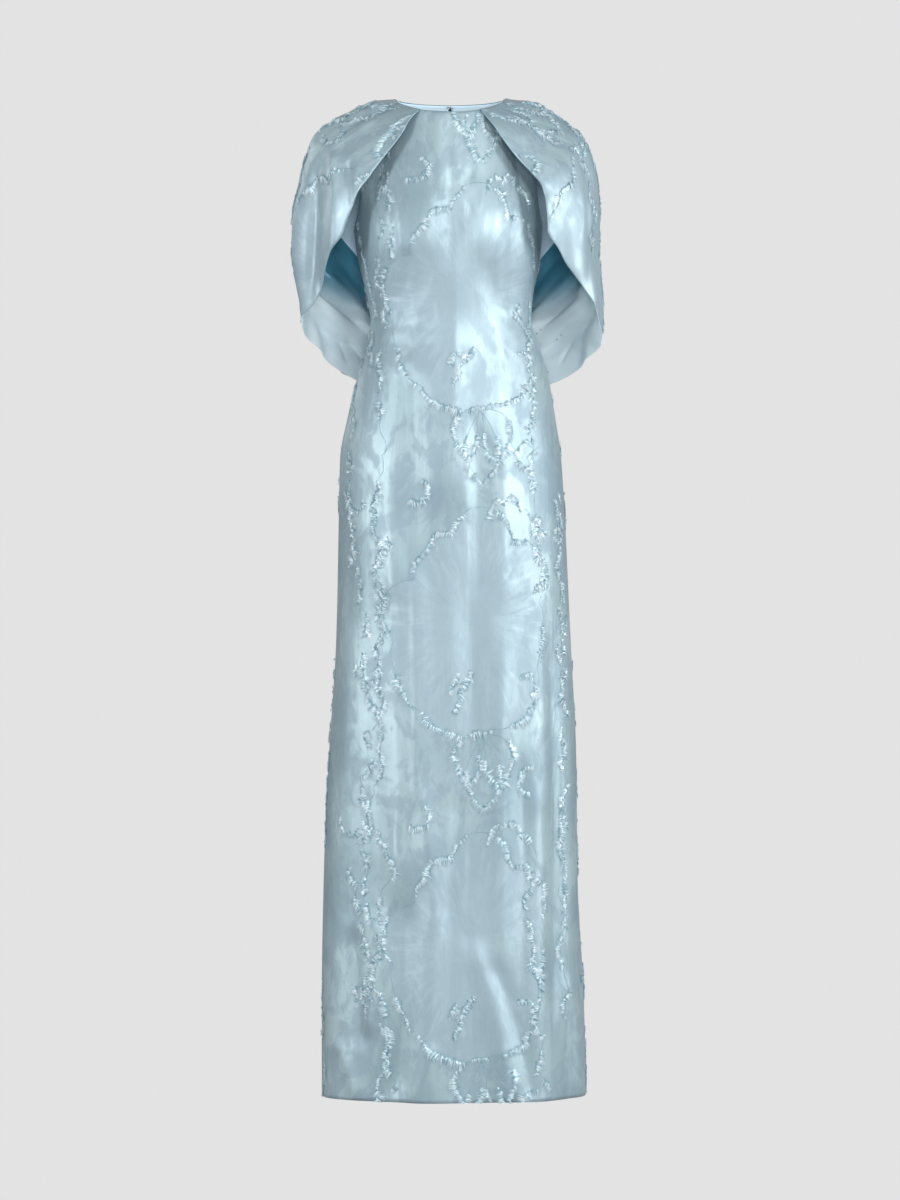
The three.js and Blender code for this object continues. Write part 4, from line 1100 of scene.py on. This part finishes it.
def thread_piece(name, grid, lines, seed):
    """Combs of tapered three-sided threads: each lock fans out from its root, lifts and droops."""
    rng = np.random.default_rng(seed)
    across, down, full, bearing, size = lock_roots(lines, rng)
    place = np.stack([across, down], -1)
    count = len(place)
    length = rng.uniform(0.0125, 0.0175, count) * (0.55 + 0.45 * full) * size
    lift = rng.uniform(0.0007, 0.0024, count)
    place = place + rng.normal(0, 0.0007, (count, 2)) * (0.4 + full[:, None])

    n = STRANDS_A_LOCK
    spread = np.tile(np.linspace(-1, 1, n), count) + rng.normal(0, 0.25, count * n)
    again = lambda v: np.repeat(v, n, axis=0)
    bearing = again(bearing + rng.normal(0, 0.14, count)) + spread * 0.16 + rng.normal(0, 0.06, count * n)
    length = again(length) * rng.uniform(0.78, 1.15, count * n)
    lift = again(lift) * rng.uniform(0.7, 1.2, count * n)
    outward = np.stack([np.cos(bearing), np.sin(bearing)], -1)
    aside = spread[:, None] * outward[:, ::-1] * (-0.0016, 0.0016)
    root = again(place) + aside - outward * length[:, None] * 0.3

    j, i, inside = locate(grid, root[:, 0], root[:, 1])
    j, i, outward, length, lift = (v[inside] for v in (j, i, outward, length, lift))
    point, along_s, along_t, normal = frame_at(grid, j, i)
    total = len(point)
    run = outward[:, :1] * along_s + outward[:, 1:] * along_t
    droop = rng.uniform(0.0004, 0.0020, total)[:, None]
    size = length[:, None]
    middle, _, _, middle_out = frame_at(grid, *stepped(grid, j, i, outward * size * 0.40))
    tip, _, _, tip_out = frame_at(grid, *stepped(grid, j, i, outward * size * 0.92))
    stations = [
        point - normal * 0.0002,
        middle + middle_out * lift[:, None],
        tip + tip_out * lift[:, None] * 0.62 + along_t * droop,
    ]
    across = np.cross(normal, run)
    ring = [
        stations[1] + (across * np.cos(a) + normal * np.sin(a)) * THREAD_RADIUS
        for a in (0.4, 2.74, 4.71)
    ]
    points = np.stack([stations[0], *ring, stations[2]], 1).reshape(-1, 3)
    sides = np.array([(0, 2, 1), (0, 3, 2), (0, 1, 3), (1, 2, 4), (2, 3, 4), (3, 1, 4)])
    threes = ((np.arange(total) * 5)[:, None, None] + sides).reshape(-1, 3)
    uv = np.tile(np.array([(0, 0), (0, 0.5), (0, 0.5), (0, 0.5), (0, 1)], float), (total, 1))
    uv[:, 0] = np.repeat(rng.uniform(0, 1, total), 5)
    made = piece_mesh(name, points, threes, uv, [THREADS_PAINTED_LIGHT], smooth_faces=False)
    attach(made, "gown")
    return made


def vein_piece(name, grid, lines, radius=0.00045):
    """Plain runs of the figures' outlines: a thin thread that lies on the satin."""
    there, plain = [], []
    for line, full in lines:
        run = np.r_[0, np.cumsum(np.linalg.norm(np.diff(line, axis=0), axis=1))]
        at = np.arange(0, run[-1], 0.0035)
        there.append(np.stack([np.interp(at, run, line[:, k]) for k in (0, 1)], -1))
        plain.append(np.interp(at, run, full) < 0.55)
        plain[-1][-1] = False
    there, plain = np.concatenate(there), np.concatenate(plain)
    j, i, inside = locate(grid, there[:, 0], there[:, 1])
    use = inside & plain
    where, _, _, facing = frame_at(grid, j, i)
    breaks = np.flatnonzero(np.diff(use.astype(int)) != 0) + 1
    points, faces = [], []
    base = 0
    for part in np.split(np.arange(len(use)), breaks):
        if use[part[0]] and len(part) > 3:
            centre, normal = where[part], facing[part]
            ahead = np.gradient(centre, axis=0)
            across = np.cross(ahead, normal)
            across /= np.linalg.norm(across, axis=1, keepdims=True)
            taper = np.minimum(1, 4 * np.sin(np.pi * np.linspace(0.04, 0.96, len(part))))[:, None]
            ring = [
                centre + (across * np.cos(a) + normal * np.sin(a) * 0.8) * radius * taper
                for a in (0, 1.57, 3.14, 4.71)
            ]
            points.append(np.stack(ring, 1).reshape(-1, 3))
            k = (np.arange(len(part) - 1) * 4)[:, None, None] + base
            quad = np.array([(0, 1, 5, 4), (1, 2, 6, 5), (2, 3, 7, 6), (3, 0, 4, 7)])
            faces += (k + quad).reshape(-1, 4).tolist()
            end = base + (len(part) - 1) * 4
            faces += [[base + 3, base + 2, base + 1, base], [end, end + 1, end + 2, end + 3]]
            base += len(part) * 4
    points = np.concatenate(points)
    made = piece_mesh(name, points, faces, np.zeros((len(points), 2)), [VEIN])
    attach(made, "gown")
    return made


def thread_finish_painted_light():
    """Loose satin yarn with painted light: each end gets a random tone from dark teal, painted shade, to near
    white, a painted highlight, and all are darker at the root, painted shade where they rise from the cloth.
    """
    each, along = (part_of(cloth_place(), k) for k in (0, 1))
    # Painted highlight and shade: a random tone for each thread end, from dark teal to near white.
    yarn = each.step(0.10, 0.90).tint(rgb(112, 156, 172), rgb(230, 244, 250))
    return {
        # Painted shade: each end is darker at its root.
        "Base Color": along.step(0.0, 0.50).tint(rgb(88, 138, 156), yarn),
        "Roughness": 0.30,
        "Metallic": 0.1,
        "Sheen Weight": 0.2,
    }


def vein_finish():
    """A single darker outline thread."""
    cloud = noise(Sock.node("ShaderNodeTexCoord", out=3), 160.0)
    tone = cloud.step(0.3, 0.7).tint(rgb(112, 146, 162), rgb(150, 180, 194))
    return {"Base Color": tone, "Roughness": 0.5}


THREADS_PAINTED_LIGHT = finish("clipped_threads_painted_light", thread_finish_painted_light)
VEIN = finish("outline_thread", vein_finish)

front_lines = figure_lines((-0.28, 0.28), (0, HEM_DROP))
front_lines += [winding_line(*row) for row in FRONT_LINES]
skirt_lines = [(line, full) for line, full in front_lines if line[:, 1].mean() > 0.8]
bodice_lines = [(line, full) for line, full in front_lines if line[:, 1].mean() <= 0.8]
thread_piece("threads_front_bodice", front_grid, bodice_lines, 21)
thread_piece("threads_front_skirt", front_grid, skirt_lines, 22)
vein_piece("veins_front", front_grid, front_lines)
for name, side in (("left", -1), ("right", 1)):
    lines = figure_lines(sorted((BACK_SHIFT, BACK_SHIFT + side * 0.29)), (0, HEM_DROP))
    thread_piece("threads_back_" + name, back_grids[name], lines, 31 + side)
    vein_piece("veins_back_" + name, back_grids[name], lines)
    middle = side * CAPE_SHIFT
    lines = figure_lines((middle - 0.3, middle + 0.3), (0, 0.55))
    for row in CAPE_LINES[name]:
        line, full = winding_line(*row)
        lines.append((line + (middle, 0), full))
    thread_piece("threads_cape_" + name, cape_grids[name], lines, 41 + side)
    vein_piece("veins_cape_" + name, cape_grids[name], lines)


# ---------------------------------------------------------------- hook, eye and zip slider
# Small plated steel fittings, pressed and tumbled smooth, with a soft uneven shine.


def plated_steel():
    """Cool plated metal with fine wear."""
    wear = noise(Sock.node("ShaderNodeTexCoord", out=3), 900.0, 3.0)
    return {
        "Base Color": wear.step(0.3, 0.7).tint(rgb(150, 166, 174), rgb(196, 208, 214)),
        "Metallic": 1.0,
        "Roughness": wear.step(0.2, 0.8) * 0.16 + 0.22,
        "Normal": bumped(wear, 0.1, 0.0001),
    }


STEEL = finish("plated_steel", plated_steel)
for fitting in ("hook", "eye", "zip_slider", "zip_pull"):
    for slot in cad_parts[fitting].material_slots:
        slot.material = STEEL
